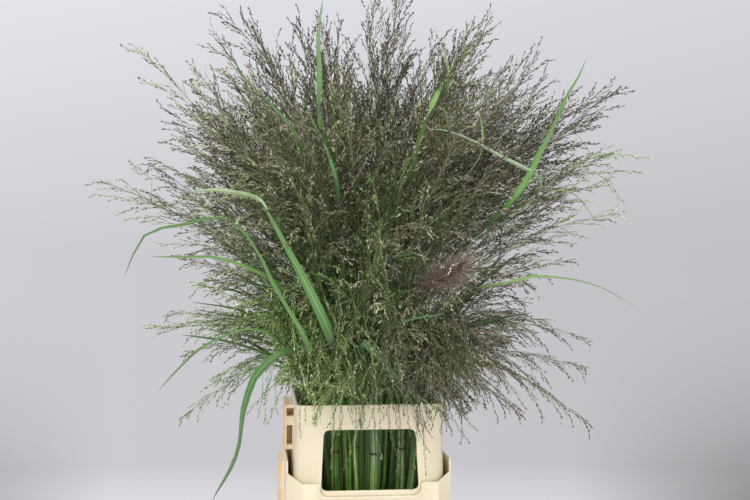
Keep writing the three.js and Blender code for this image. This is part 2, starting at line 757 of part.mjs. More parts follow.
// ---- panicles ----
// A panicle is one closed skin that forks. It is made of rings of three corners. Where
// a branch leaves, a fourth corner stands just above the ring: with the ring's first
// side it makes the small triangle that the branch grows out of.
const THIRD = 2 * Math.PI / 3;

// Three corners counter-clockwise about `forward`, the first side facing `toward`.
function addRing(sprig, centre, forward, toward, radius) {
  const out = toward.clone().projectOnPlane(forward).normalize();
  return [-0.5, 0.5, 1.5].map((turns) => {
    const corner = out.clone().applyAxisAngle(forward, turns * THIRD);
    return addPoint(sprig, centre.clone().addScaledVector(corner, radius));
  });
}

function addPoint(sprig, point) {
  sprig.points.push(point);
  return sprig.points.length - 1;
}

function addPeak(sprig, ring, forward, rise) {
  const [a, b] = ring.map((id) => sprig.points[id]);
  return addPoint(sprig, a.clone().lerp(b, 0.5).addScaledVector(forward, rise));
}

// The corner of the upper ring that each corner of the lower one joins: least twist.
function leastTwist(sprig, lower, upper) {
  const arms = (ring) => {
    const corners = ring.map((id) => sprig.points[id]);
    const middle = corners[0].clone().add(corners[1]).add(corners[2]).divideScalar(3);
    return corners.map((corner) => corner.clone().sub(middle).normalize());
  };
  const low = arms(lower);
  const high = arms(upper);
  const match = (shift) => low.reduce((sum, arm, k) => sum + arm.dot(high[(k + shift) % 3]), 0);
  return [0, 1, 2].reduce((best, shift) => (match(shift) > match(best) ? shift : best), 0);
}

function bridge(sprig, lower, upper, peak = null) {
  const shift = leastTwist(sprig, lower, upper);
  for (let k = 0; k < 3; k++) {
    const a = lower[k];
    const b = lower[(k + 1) % 3];
    const aUp = upper[(k + shift) % 3];
    const bUp = upper[(k + 1 + shift) % 3];
    if (k === 0 && peak !== null) {
      sprig.faces.push([a, peak, aUp], [peak, bUp, aUp], [peak, b, bUp]);
    } else {
      sprig.faces.push([a, b, bUp], [a, bUp, aUp]);
    }
  }
}

// The spikelet at the end of a stalk: it swells to its belly and closes in a point.
function addSpikelet(sprig, ring, from, forward, toward, peak = null) {
  const belly = from.clone().addScaledVector(forward, -0.6 * SPIKELET.length);
  const wide = addRing(sprig, belly, forward, toward, SPIKELET.radius);
  bridge(sprig, ring, wide, peak);
  const tip = addPoint(sprig, from);
  for (let k = 0; k < 3; k++) {
    sprig.faces.push([wide[k], wide[(k + 1) % 3], tip]);
  }
}

function opened(axis, outward, degrees) {
  const angle = THREE.MathUtils.degToRad(degrees);
  return axis.clone().multiplyScalar(Math.cos(angle)).addScaledVector(outward, Math.sin(angle));
}

// A route from `start` that opens away from `axis`; it is swung about until it is clear.
function findBranch(name, start, axis, turn, length, droop, isStraight = false) {
  const sideways = axis.clone().cross(at(0.2, -0.3, 1)).normalize();
  for (const swing of [0, 0.35, -0.35, 0.7, -0.7, 1.1, -1.1, 1.6, -1.6]) {
    const outward = sideways.clone().applyAxisAngle(axis, turn + swing);
    const first = opened(axis, outward, BRANCH_OPEN[0]);
    const second = opened(axis, outward, BRANCH_OPEN[1]).addScaledVector(UP, -droop).normalize();
    const bend = start.clone().addScaledVector(first, 0.5 * length);
    const tip = bend.clone().addScaledVector(second, 0.5 * length);
    if (isStraight) {
      bend.copy(start).lerp(tip, 0.5);
    }
    if (isFree(name, [start, bend, tip], SPIKELET.radius)) {
      book(name, [start, bend, tip], SPIKELET.radius);
      return { start, bend, tip, first, second, outward };
    }
  }
  return null;
}

// A branch grows from a root triangle; where it bends, a side branch may leave it.
function growBranch(sprig, root, branch, side) {
  const toward = side ? side.outward : branch.outward;
  const ring = addRing(sprig, branch.bend, branch.second, toward, TWIG);
  bridge(sprig, root, ring);
  let peak = null;
  if (side) {
    peak = addPeak(sprig, ring, branch.second, ROOT_RISE);
    const aim = side.tip.clone().sub(side.start).normalize();
    addSpikelet(sprig, [ring[0], ring[1], peak], side.tip, aim, side.outward);
  }
  addSpikelet(sprig, ring, branch.tip, branch.second, toward, peak);
}

function makePanicle(stem) {
  const sprig = { points: [], faces: [] };
  const size = stem.axis[0].distanceTo(stem.axis.at(-1)) / 400;
  const base = stem.curve.getTangent(stem.panicleStart);
  let ring = addRing(sprig, stem.axis[0], base, at(0, -1, 0), RACHIS[0]);
  let peak = null;
  let outward = at(0, -1, 0);
  const droop = THREE.MathUtils.lerp(...BRANCH_DROOP, stem.spread ** 2);
  sprig.faces.push([ring[0], ring[2], ring[1]]);
  for (let i = 0; i < BRANCHES; i++) {
    const share = forkShare(i);
    const start = panicleAxis(stem, share);
    const axis = stem.curve.getTangent(THREE.MathUtils.lerp(stem.panicleStart, 1, share));
    const length = size * (BRANCH_LENGTH[0] + BRANCH_LENGTH[1] * (1 - share) ** 0.8);
    const turn = i * GOLDEN + stem.number;
    const branch = findBranch(stem.name, start, axis, turn, length, droop);
    outward = branch ? branch.outward : outward;
    const next = addRing(sprig, start, axis, outward, THREE.MathUtils.lerp(...RACHIS, share));
    bridge(sprig, ring, next, peak);
    peak = null;
    if (branch) {
      peak = addPeak(sprig, next, axis, ROOT_RISE);
      const sideLength = SIDE_BRANCH * length;
      const side = findBranch(stem.name, branch.bend, branch.first, turn + 2, sideLength, droop, true);
      growBranch(sprig, [next[0], next[1], peak], branch, side);
    }
    ring = next;
  }
  addSpikelet(sprig, ring, panicleAxis(stem, 1), stem.curve.getTangent(1), outward, peak);
  const geometry = new THREE.BufferGeometry().setFromPoints(sprig.points);
  geometry.setIndex(sprig.faces.flat());
  return toSolid(geometry);
}

// ---- making the pieces ----
addPiece('bucket', makeBucket(), COLOURS.bucket, 0.45);
addPiece('collar', makeCollar(), COLOURS.collar, 0.42);
const { stems, bunches } = makeStems();
addPiece('water', makeWater(stems), COLOURS.water, 0.1);
for (const leaf of FRONT_LEAVES) {
  addFrontLeaf(stems, leaf);
}
for (const stem of stems.slice(FRONT_LEAVES.length)) {
  addLeaf(stem);
}
for (const bunch of bunches) {
  addPiece(bunch.name, bunchSolid(bunch), COLOURS.stem, 0.5);
  addPiece(`band_${bunch.number}`, makeRubber(bunch), COLOURS.rubber, 0.7);
}
for (const stem of stems) {
  addPiece(stem.name, makePanicle(stem), stem.isGreen ? COLOURS.green : COLOURS.purple, 0.8);
}

export default object;
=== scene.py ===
# %% [markdown]
# # Cut switchgrass in a trade bucket
# Forty leafy culms stand in eight tied bunches, each with an airy panicle on it, in a
# bucket of cream plastic with a loose collar. The collar has a window in its front.
# The solid model is loaded first as a fixed frame: its pieces are already the right
# size and in the right place, in metres, with Z up and the window looking along -Y.

# %% Load the frame
import math

import bmesh
import bpy
import numpy as np
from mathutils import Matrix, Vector


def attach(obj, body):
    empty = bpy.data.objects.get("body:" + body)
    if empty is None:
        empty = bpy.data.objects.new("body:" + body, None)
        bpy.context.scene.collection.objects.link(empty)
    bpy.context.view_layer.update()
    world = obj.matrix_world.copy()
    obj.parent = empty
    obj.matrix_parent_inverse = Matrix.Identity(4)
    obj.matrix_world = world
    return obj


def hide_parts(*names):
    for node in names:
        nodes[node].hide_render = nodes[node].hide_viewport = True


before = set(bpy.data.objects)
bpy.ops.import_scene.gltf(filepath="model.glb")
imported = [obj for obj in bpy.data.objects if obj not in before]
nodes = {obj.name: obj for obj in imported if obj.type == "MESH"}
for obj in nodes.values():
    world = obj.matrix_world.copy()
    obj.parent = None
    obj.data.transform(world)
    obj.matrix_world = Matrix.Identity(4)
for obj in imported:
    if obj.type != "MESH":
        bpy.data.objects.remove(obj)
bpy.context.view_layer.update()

# %% [markdown]
# ## Camera
# The camera stands 2.4 m in front of the bucket, five degrees to its left, and looks
# level at half the height of the grass. A long lens is chosen because it keeps the
# near panicles from swelling. It looks a little past the bucket's middle, to the right.

# %% Camera
PICTURE = (750, 500)
FOCAL_PIXELS = 1236
EYE_HEIGHT = 0.625
VIEW_DISTANCE = 2.398
VIEW_TURN = math.radians(5.0)
LOOK_PAST = math.radians(0.65)

camera_data = bpy.data.cameras.new("camera")
camera_data.sensor_width = 36.0
camera_data.lens = FOCAL_PIXELS / PICTURE[0] * camera_data.sensor_width
camera = bpy.data.objects.new("camera", camera_data)
camera.location = (
    -VIEW_DISTANCE * math.sin(VIEW_TURN),
    -VIEW_DISTANCE * math.cos(VIEW_TURN),
    EYE_HEIGHT,
)
camera.rotation_euler = (math.pi / 2, 0.0, -VIEW_TURN - LOOK_PAST)
scene = bpy.context.scene
scene.collection.objects.link(camera)
scene.camera = camera
print("lens", round(camera_data.lens, 2), "mm")

# %% [markdown]
# ## Light
# A soft studio is a bright room more than a lamp: the world gives an even pale light,
# and four large area lights add a gentle direction. The wide key light hangs in front,
# above and to the left, so that the right side of every culm falls off a little. A weak
# one stands low in front, or the window and all that hangs under the rim would be lost
# in shadow.

# %% Light and view
scene.view_settings.view_transform = "Standard"

LIGHTS = {  # place, size in metres, power in watts, colour
    "key": ((-1.6, -3.4, 2.6), 2.2, 82.0, (1.0, 0.985, 0.96)),
    "fill": ((2.8, -2.6, 1.4), 2.5, 23.0, (0.96, 0.98, 1.0)),
    "top": ((0.2, 0.4, 3.2), 2.0, 25.0, (1.0, 1.0, 1.0)),
    "low": ((-0.3, -3.6, 0.35), 1.4, 24.0, (1.0, 0.99, 0.97)),
}


def add_light(name, place, size, power, colour):
    data = bpy.data.lights.new(name, "AREA")
    data.shape = "DISK"
    data.size = size
    data.energy = power
    data.color = colour
    light = bpy.data.objects.new(name, data)
    light.location = place
    aim = Vector((0.0, 0.0, 0.5)) - Vector(place)
    light.rotation_euler = aim.to_track_quat("-Z", "Y").to_euler()
    scene.collection.objects.link(light)


for name, settings in LIGHTS.items():
    add_light(name, *settings)
print("lights:", list(LIGHTS))

# %% [markdown]
# The world is the studio's wall. It is a little darker near the floor than higher up,
# and it falls off towards the right. The floor takes up the same colour and the same
# falloff later on, so that it runs into the wall without an edge.

# %% Wall
WALL_COLOUR, SKY_COLOUR = (0.625, 0.62, 0.65), (0.805, 0.815, 0.87)
SKY_FROM = 0.22                       # the wall's top, as a share of straight up
WALL_FALLOFF = (-0.25, 0.4, 1.0, 0.85)  # from left, to right, and how bright at each

world = bpy.data.worlds.new("studio")
scene.world = world
world.use_nodes = True
air = world.node_tree
ray = air.nodes.new("ShaderNodeTexCoord")
split = air.nodes.new("ShaderNodeSeparateXYZ")
air.links.new(ray.outputs["Generated"], split.inputs["Vector"])
height = air.nodes.new("ShaderNodeMapRange")
height.inputs["From Min"].default_value = 0.0
height.inputs["From Max"].default_value = SKY_FROM
air.links.new(split.outputs["Z"], height.inputs["Value"])
aside = air.nodes.new("ShaderNodeMapRange")
for name, value in zip(("From Min", "From Max", "To Min", "To Max"), WALL_FALLOFF):
    aside.inputs[name].default_value = value
air.links.new(split.outputs["X"], aside.inputs["Value"])
shade = air.nodes.new("ShaderNodeMix")
shade.data_type = "RGBA"
shade.inputs["A"].default_value = (*WALL_COLOUR, 1.0)
shade.inputs["B"].default_value = (*SKY_COLOUR, 1.0)
air.links.new(height.outputs["Result"], shade.inputs["Factor"])
air.links.new(shade.outputs["Result"], air.nodes["Background"].inputs["Color"])
air.links.new(aside.outputs["Result"], air.nodes["Background"].inputs["Strength"])
print("wall colour:", WALL_COLOUR)

# %% [markdown]
# ## Finishes
# Every finish starts from one Principled shader. A finish is only believable when its
# colour, its roughness and its relief all vary a little, and each at its own scale, so
# the helpers below add noise in the object's own coordinates. Those coordinates stay
# with the piece when it is turned or seen from another side.

# %% Helpers for finishes
def new_finish(name, roughness):
    material = bpy.data.materials.new(name)
    material.use_nodes = True
    tree = material.node_tree
    shader = tree.nodes["Principled BSDF"]
    shader.inputs["Roughness"].default_value = roughness
    return material, tree, shader


def add_node(tree, kind, inputs=(), **settings):
    node = tree.nodes.new(kind)
    for key, value in settings.items():
        setattr(node, key, value)
    for key, value in dict(inputs).items():
        node.inputs[key].default_value = value
    return node


def noise_at(tree, scale, detail=2.0, stretch=(1.0, 1.0, 1.0)):
    place = add_node(tree, "ShaderNodeTexCoord")
    mapping = add_node(tree, "ShaderNodeMapping", {"Scale": stretch})
    texture = add_node(tree, "ShaderNodeTexNoise", {"Scale": scale, "Detail": detail})
    tree.links.new(place.outputs["Object"], mapping.inputs["Vector"])
    tree.links.new(mapping.outputs["Vector"], texture.inputs["Vector"])
    return texture.outputs["Fac"]


def colour_ramp(tree, source, stops):
    ramp = add_node(tree, "ShaderNodeValToRGB")
    points = ramp.color_ramp.elements
    while len(points) < len(stops):
        points.new(0.5)
    for point, (place, colour) in zip(points, stops):
        point.position = place
        point.color = (*colour, 1.0)
    tree.links.new(source, ramp.inputs["Fac"])
    return ramp.outputs["Color"]


def blended(tree, share, first, second, how="MIX"):
    mix = add_node(tree, "ShaderNodeMix", data_type="RGBA", blend_type=how)
    for socket, value in (("Factor", share), ("A", first), ("B", second)):
        if isinstance(value, (float, tuple)):
            mix.inputs[socket].default_value = value
        else:
            tree.links.new(value, mix.inputs[socket])
    return mix.outputs["Result"]


def spread_value(tree, source, low, high, low_out, high_out):
    node = add_node(tree, "ShaderNodeMapRange", {
        "From Min": low, "From Max": high, "To Min": low_out, "To Max": high_out,
    })
    tree.links.new(source, node.inputs["Value"])
    return node.outputs["Result"]


def add_relief(tree, shader, source, height, distance=0.001):
    bump = add_node(tree, "ShaderNodeBump", {"Strength": height, "Distance": distance})
    tree.links.new(source, bump.inputs["Height"])
    tree.links.new(bump.outputs["Normal"], shader.inputs["Normal"])


def attribute(tree, name):
    return add_node(tree, "ShaderNodeAttribute", attribute_name=name).outputs["Fac"]


print("finish helpers ready")

# %% [markdown]
# The plastic is cream polypropylene, a little see-through: where it is thin or folded
# back on itself, as in the lugs at the sides, light glows orange-brown through it and
# their pockets lie in shade. Real see-through plastic is slow to render, so that glow and
# shade are painted: a warm tone and a weak glow are laid on by place, and noise thins them
# out again. Fine grain, dull scuffs and faint water marks break up the gloss.

# %% Plastic
CREAM = (0.755, 0.66, 0.465)
CREAM_PALE = (0.80, 0.715, 0.525)
# painted light and shade in the lugs: the colour of their glow and shade, and how bright the glow
# is
PAINTED_GLOW_SHADE, PAINTED_GLOW_STRENGTH = (0.62, 0.36, 0.16), 0.22
GRIME = (0.55, 0.42, 0.26)


def make_plastic(name, glow_shade_from, glow_shade_to):
    """The two numbers say how far out, in metres, the painted glow and shade of the lugs begin and
    are full.
    """
    material, tree, shader = new_finish(name, 0.42)
    place = add_node(tree, "ShaderNodeTexCoord")
    parts = add_node(tree, "ShaderNodeSeparateXYZ")
    tree.links.new(place.outputs["Object"], parts.inputs["Vector"])
    # painted light and shade: out where the lugs are, the plastic takes a warm glow and shade
    aside = add_node(tree, "ShaderNodeMath", operation="ABSOLUTE")
    tree.links.new(parts.outputs["X"], aside.inputs[0])
    painted_lug_mask = spread_value(tree, aside.outputs["Value"], glow_shade_from, glow_shade_to, 0.0, 1.0)
    patches = noise_at(tree, 7.0, 3.0)
    glow_breakup = spread_value(tree, noise_at(tree, 26.0, 3.0), 0.3, 0.65, 0.30, 0.85)
    together = add_node(tree, "ShaderNodeMath", operation="MULTIPLY")
    tree.links.new(painted_lug_mask, together.inputs[0])
    tree.links.new(glow_breakup, together.inputs[1])
    lug_glow_shade_share = together.outputs["Value"]
    plain = colour_ramp(tree, patches, [(0.3, CREAM), (0.65, CREAM_PALE)])
    grime = spread_value(tree, noise_at(tree, 34.0, 5.0, (1.0, 1.0, 0.25)), 0.58, 0.72, 0.0, 0.14)
    marked = blended(tree, grime, plain, (*GRIME, 1.0))
    colour = blended(tree, lug_glow_shade_share, marked, (*PAINTED_GLOW_SHADE, 1.0))
    tree.links.new(colour, shader.inputs["Base Color"])
    shader.inputs["Emission Color"].default_value = (*PAINTED_GLOW_SHADE, 1.0)
    glow = spread_value(tree, lug_glow_shade_share, 0.0, 1.0, 0.0, PAINTED_GLOW_STRENGTH)
    tree.links.new(glow, shader.inputs["Emission Strength"])
    scuffs = noise_at(tree, 55.0, 6.0, (1.0, 1.0, 3.0))
    tree.links.new(spread_value(tree, scuffs, 0.35, 0.7, 0.34, 0.6), shader.inputs["Roughness"])
    add_relief(tree, shader, noise_at(tree, 900.0, 2.0), 0.12, 0.0006)
    return material


bucket_plastic = make_plastic("bucket_cream_plastic", 0.1505, 0.158)
collar_plastic = make_plastic("collar_cream_plastic", 0.1385, 0.147)
print("plastics:", bucket_plastic.name, collar_plastic.name)

# %% [markdown]
# ## Water
# Only a shallow layer stands in the bucket. The frame's own solid is right for it, so
# it keeps its shape and gets a clear finish with a slow ripple, faintly green.

# %% Water
water_finish, tree, shader = new_finish("bucket_water", 0.04)
shader.inputs["Transmission Weight"].default_value = 0.85
shader.inputs["IOR"].default_value = 1.333
silt = noise_at(tree, 22.0, 4.0)
tree.links.new(colour_ramp(tree, silt, [(0.3, (0.45, 0.55, 0.42)), (0.7, (0.62, 0.7, 0.6))]),
               shader.inputs["Base Color"])
add_relief(tree, shader, noise_at(tree, 16.0, 2.0), 0.25, 0.002)
water = nodes["water"]
water.data.materials.clear()
water.data.materials.append(water_finish)
print("water keeps its solid:", len(water.data.polygons), "faces")

# %% [markdown]
# ## Where each culm goes
# The culms are laid out by one rule, the seeds of a sunflower: each next culm turns on
# by 137.5 degrees and stands a little further out. The middle ones stand steep and
# long, the outer ones lean far over the rim. The same rule laid out the solid model,
# with the same sizes, so every fine piece made here lies on the solid it stands for.
# Above the rim a culm is a curve with four points: where it leaves the mouth, two that
# bend it, and its tip.

# %% Curves and the shape of the dome
GOLDEN = math.radians(137.508)
RIM_Z, MOUTH_Z, FOOT_Z = 0.347, 0.35, 0.0033
MOUTH_HALF = (0.112, 0.160)           # how far out the culms stand at the mouth
TIED_IN = 0.92                        # how far out a bunch is tied, as a share of that
DEPTH_SHARE = 0.86                    # the dome is a little flatter front to back
RIM_HALF = (0.16, 0.20)               # half the rim's width and depth, with some air
UP = np.array([0.0, 0.0, 1.0])


def unit(vector):
    return vector / np.linalg.norm(vector, axis=-1, keepdims=True)


def between(low, high, share):
    return low + (high - low) * share


def heading_vector(heading, lean):
    side = math.sin(lean)
    x, y = side * math.cos(heading), side * math.sin(heading) * DEPTH_SHARE
    return np.array([x, y, math.cos(lean)])


def curve_point(curve, share):
    a, b, c, d = curve
    s = np.atleast_1d(share)[:, None]
    return (1 - s) ** 3 * a + 3 * s * (1 - s) ** 2 * b + 3 * s**2 * (1 - s) * c + s**3 * d


def curve_aim(curve, share):
    a, b, c, d = curve
    s = np.atleast_1d(share)[:, None]
    return unit((1 - s) ** 2 * (b - a) + 2 * s * (1 - s) * (c - b) + s**2 * (d - c))


def culm_curve(heading, lean, mouth, reach):
    tip = np.array([0.0, 0.0, RIM_Z]) + heading_vector(heading, lean) * reach
    leaving = heading_vector(heading, 0.35 * lean) * 0.38 * reach
    arriving = heading_vector(heading, 1.25 * lean + 0.1) * 0.36 * reach
    return np.array([mouth, mouth + leaving, tip - arriving, tip])


def reach_for(lean):
    """Steep culms reach far above the rim, and those past 54 degrees fall short."""
    return 0.34 + 0.48 / (1 + np.exp((np.degrees(lean) - 54) / 7))


def depth_of(place):
    """How far out points lie in the dome: 0 at the rim's middle, 1 on its outside."""
    out = (place - [0.0, 0.0, RIM_Z]) / [1.0, DEPTH_SHARE, 1.0]
    lean = np.arctan2(np.hypot(out[:, 0], out[:, 1]), out[:, 2])
    in_dome = np.linalg.norm(out, axis=1) / reach_for(lean)
    over_rim = np.hypot(place[:, 0] / RIM_HALF[0], place[:, 1] / RIM_HALF[1])
    over_rim = over_rim * (place[:, 2] < 0.48)
    return np.maximum(in_dome, over_rim)


print("reach above the rim:", [round(float(reach_for(lean)), 2) for lean in (0.1, 0.8, 1.5)])

# %% [markdown]
# Ten inner culms make two bunches and thirty outer ones make six, always with their
# neighbours. The culms of a bunch stand in the water and run through their rubber band
# side by side, and spread out only above it.

# %% Layout of the culms
STEMS, BUNCHES, INNER_STEMS = 40, 8, 10


def spot_at(spread, turn, half, z):
    """A point in an oval: spread goes from 0 in its middle to 1 on its edge."""
    return np.array([half[0] * spread * math.cos(turn), half[1] * spread * math.sin(turn), z])


def lay_stem(number):
    spread = math.sqrt((number + 0.5) / STEMS)
    heading = number * GOLDEN
    lean = between(4, 100, spread**1.75) * (1 - 0.1 * abs(math.sin(heading)))
    unripe = lean > 30 and math.cos(heading) < 0.25 and math.sin(heading) < 0.3
    return {
        "number": number, "spread": spread, "heading": heading, "lean": math.radians(lean),
        "unripe": unripe, "at_mouth": spot_at(spread, heading, MOUTH_HALF, MOUTH_Z),
        "start": between(0.5, 0.25, spread),
    }


def turn_of(point, middle):
    return math.atan2(point[1] - middle[1], point[0] - middle[0])


stems = [lay_stem(number) for number in range(STEMS)]
ordered = sorted(stems[:INNER_STEMS], key=lambda s: s["heading"] % math.tau)
ordered += sorted(stems[INNER_STEMS:], key=lambda s: s["heading"] % math.tau)
bunches = []
for first in range(0, STEMS, STEMS // BUNCHES):
    members = ordered[first:first + STEMS // BUNCHES]
    middle = np.mean([s["at_mouth"] for s in members], axis=0)
    around = sorted(members, key=lambda s: turn_of(s["at_mouth"], middle))
    turn = turn_of(around[0]["at_mouth"], middle)
    for place, stem in enumerate(around):
        stem["turn"] = turn + place * math.tau / len(around)
    bunches.append({"number": len(bunches) + 1, "stems": members, "middle": middle})

for bunch in bunches:
    middle = bunch["middle"]
    for stem in bunch["stems"]:
        out = np.array([math.cos(stem["turn"]), math.sin(stem["turn"])])
        mouth = between(middle, stem["at_mouth"], 0.6)
        stem["curve"] = culm_curve(stem["heading"], stem["lean"], mouth, reach_for(stem["lean"]))
        stem["foot"] = np.append(0.76 * middle[:2] + 0.016 * out, FOOT_Z)
        stem["tie"] = [np.append(TIED_IN * middle[:2] + 0.0048 * out, z) for z in (0.228, 0.262)]
print("bunches:", [[s["number"] + 1 for s in b["stems"]] for b in bunches])

# %% [markdown]
# ## The sprays
# A switchgrass panicle is an open spray: a thin axis, branches that leave it all the
# way round, thread-thin branchlets on those, and on each branchlet a row of small
# pointed seed cases, the spikelets. Nobody models over a hundred thousand spikelets by
# hand. The script draws a bare mesh of points and edges, and a Geometry Nodes tree gives
# it body: edges become three-sided stalks, and every point that has a length gets one
# slender case. A branchlet is the same case, drawn out until it is a thread.

# %% Drawing the lines of a spray
random = np.random.default_rng(20)
KEPT_FROM, KEPT_RISE = 0.42, 2.1      # how far out the seeds begin, and how soon all are kept


class Drawing:
    """Lines that get swept and points that carry cases, each with its own colouring."""

    KEYS = ("place", "thick", "aim", "wide", "long", "tone", "green")

    def __init__(self):
        self.rows = {key: [] for key in self.KEYS}
        self.edges = []
        self.count = 0

    def add_points(self, *values):
        count = len(values[0])
        for key, value in zip(self.KEYS, values):
            width = (count, 3) if key in ("place", "aim") else (count,)
            self.rows[key].append(np.broadcast_to(np.asarray(value, float), width))
        self.count += count

    def add_lines(self, lines, thick, tone, green):
        """Lines is an array of many lines, each of the same number of points."""
        many, length = lines.shape[:2]
        start = self.count + np.arange(many)[:, None] * length + np.arange(length - 1)
        self.edges.append(np.stack([start, start + 1], -1).reshape(-1, 2))
        tones = np.repeat(np.broadcast_to(tone, (many,)), length)
        self.add_points(lines.reshape(-1, 3), np.broadcast_to(thick, (many, length)).ravel(),
                        UP, 0.0, 0.0, tones, green)

    def add_cases(self, place, aim, wide, long, tone, green):
        self.add_points(place, 0.0, aim, wide, long, tone, green)

    def paint_shade_and_thin(self, depth_of, full, painted_shade):
        """Deep in the dome the tones are painted darker as shade, and most of what nobody can see
        is left out.
        """
        depths = [np.clip(depth_of(place) / full, 0, 1) for place in self.rows["place"]]
        draw = np.random.default_rng(self.count)
        for i, depth in enumerate(depths):
            # painted shade: the deeper a point lies in the dome, the darker its tone
            self.rows["tone"][i] = np.clip(self.rows["tone"][i] - painted_shade * (1 - depth), 0, 1)
            kept = np.clip(0.1 + KEPT_RISE * (depth - KEPT_FROM), 0.06, 1)
            hidden = draw.random(len(depth)) > kept
            self.rows["long"][i] = np.where(hidden, 0.0, self.rows["long"][i])

    def to_mesh(self, name):
        rows = {key: np.concatenate(value) for key, value in self.rows.items()}
        mesh = bpy.data.meshes.new(name)
        edges = np.concatenate(self.edges)
        mesh.vertices.add(self.count)
        mesh.edges.add(len(edges))
        mesh.vertices.foreach_set("co", rows["place"].astype(np.float32).ravel())
        mesh.edges.foreach_set("vertices", edges.astype(np.int32).ravel())
        for key in ("thick", "wide", "long", "tone", "green"):
            layer = mesh.attributes.new(key, "FLOAT", "POINT")
            layer.data.foreach_set("value", rows[key].astype(np.float32))
        layer = mesh.attributes.new("aim", "FLOAT_VECTOR", "POINT")
        layer.data.foreach_set("vector", rows["aim"].astype(np.float32).ravel())
        return mesh


print("drawing helper ready")

# %% [markdown]
# Three short functions draw one spray. Each leans its lines away from what carries
# them, turns on by the golden angle, and lets them sag a little. Tone is how light a
# piece is, from 0 to 1, and green is how unripe: both vary from branch to branch, from
# branchlet to branchlet and from seed to seed. One seed in five is bleached.

# %% Branchlets and seeds
SEED_GAP, SIDE_GAP = 0.0046, 0.0105   # along a branchlet, and from one to the next
SEED_WIDE, SEED_LONG = 0.0022, 0.0065
THREAD = 0.00066
STALK_TONE = 0.62
BRANCHLET_OPENS, SEED_OPENS = (6, 19), (4, 20)  # degrees
BLEACHED, BLEACH = 0.20, 0.30         # the share of the seeds, and how much lighter
VARIES = {"branch": 0.17, "branchlet": 0.13, "seed": 0.20}


def bent_line(start, first, second, length, points):
    """A line that leaves along first, arrives along second, and bows between them."""
    share = np.linspace(0, 1, points)[:, None]
    bend = start + first * length / 2
    tip = bend + second * length / 2
    return (1 - share) ** 2 * start + 2 * share * (1 - share) * bend + share**2 * tip


def across_of(aim):
    side = np.cross(aim, [0.2, -0.3, 1.0])
    return unit(side), unit(np.cross(aim, side))


def opened(aim, turn, angle):
    """Aim, leaned by an angle towards a turn about itself. Works on one or on many."""
    side, other = across_of(aim)
    turn, angle = np.asarray(turn)[..., None], np.asarray(angle)[..., None]
    outward = side * np.cos(turn) + other * np.sin(turn)
    return aim * np.cos(angle) + outward * np.sin(angle)


def stalk_green(green):
    return between(0.75, 1.0, green)


def add_branchlets(spray, roots, aims, lengths, droop, tone, green, grain=1.0):
    """Thread-thin side stalks, each with a row of seed cases along it."""
    many = len(roots)
    turns = np.arange(many) * GOLDEN + random.uniform(-0.5, 0.5, many)
    out = opened(aims, turns, np.radians(random.uniform(*BRANCHLET_OPENS, many)))
    out = unit(out - UP * droop * random.uniform(0.1, 0.5, many)[:, None])
    tones = np.clip(tone + random.normal(0, VARIES["branchlet"], many), 0, 1)
    spray.add_cases(roots, out, THREAD, lengths, STALK_TONE, stalk_green(green))
    steps = int(max(lengths.max() / SEED_GAP, 2))
    run = (np.arange(steps) + random.uniform(0.4, 1.1, (many, steps))) * SEED_GAP
    keep = (run > 0.12 * lengths[:, None]) & (run < 0.95 * lengths[:, None])
    along = out[:, None] + np.zeros((many, steps, 3))
    place = roots[:, None] + along * run[..., None]
    sway = np.arange(steps)[None, :] * 2.4 + turns[:, None]
    aim = opened(along, sway, np.radians(random.uniform(*SEED_OPENS, run.shape)))
    pale = BLEACH * (random.random(run.shape) < BLEACHED) - 0.04
    seed_tone = tones[:, None] + pale + random.normal(0, VARIES["seed"], run.shape)
    seed_tone = np.clip(seed_tone, 0, 0.86)
    size = grain * random.uniform(0.75, 1.2, run.shape)[keep]
    spray.add_cases(place[keep], aim[keep], SEED_WIDE * size, SEED_LONG * size,
                    seed_tone[keep], green)
    spray.add_cases(roots + out * lengths[:, None] * 0.97, out, SEED_WIDE * grain,
                    SEED_LONG * grain, tones, green)


print("seeds on a branchlet of 30 mm:", int(0.03 / SEED_GAP))

# %% [markdown]
# A branch is a bent stalk with its branchlets all the way round. A panicle is the end
# of its culm, with twenty branches, some bare threads between them and a tuft of
# branchlets at the tip.

# %% Branches and the whole panicle
def add_branch(spray, start, first, second, length, thick, droop, tone, green, side=1.0,
               grain=1.0):
    """A branch of the spray with its branchlets and a seed at its tip."""
    line = bent_line(start, first, second, length, 3)
    spray.add_lines(line[None], np.linspace(thick, 0.0003, 3)[None],
                    between(STALK_TONE, tone, 0.5), stalk_green(green))
    many = max(int(length * 0.8 / SIDE_GAP / side**0.5), 2)
    share = np.linspace(0.18, 0.97, many)
    bend, tip = start + first * length / 2, start + (first + second) * length / 2
    s = share[:, None]
    roots = (1 - s) ** 2 * start + 2 * s * (1 - s) * bend + s**2 * tip
    aims = unit((1 - s) * first + s * second)
    lengths = (0.20 * length * (1 - share) + 0.013) * side * random.uniform(0.75, 1.25, many)
    add_branchlets(spray, roots, aims, lengths, droop, tone, green, grain * side**0.4)
    spray.add_cases(tip[None], second, SEED_WIDE, SEED_LONG, tone, green)


BRANCHES = 20


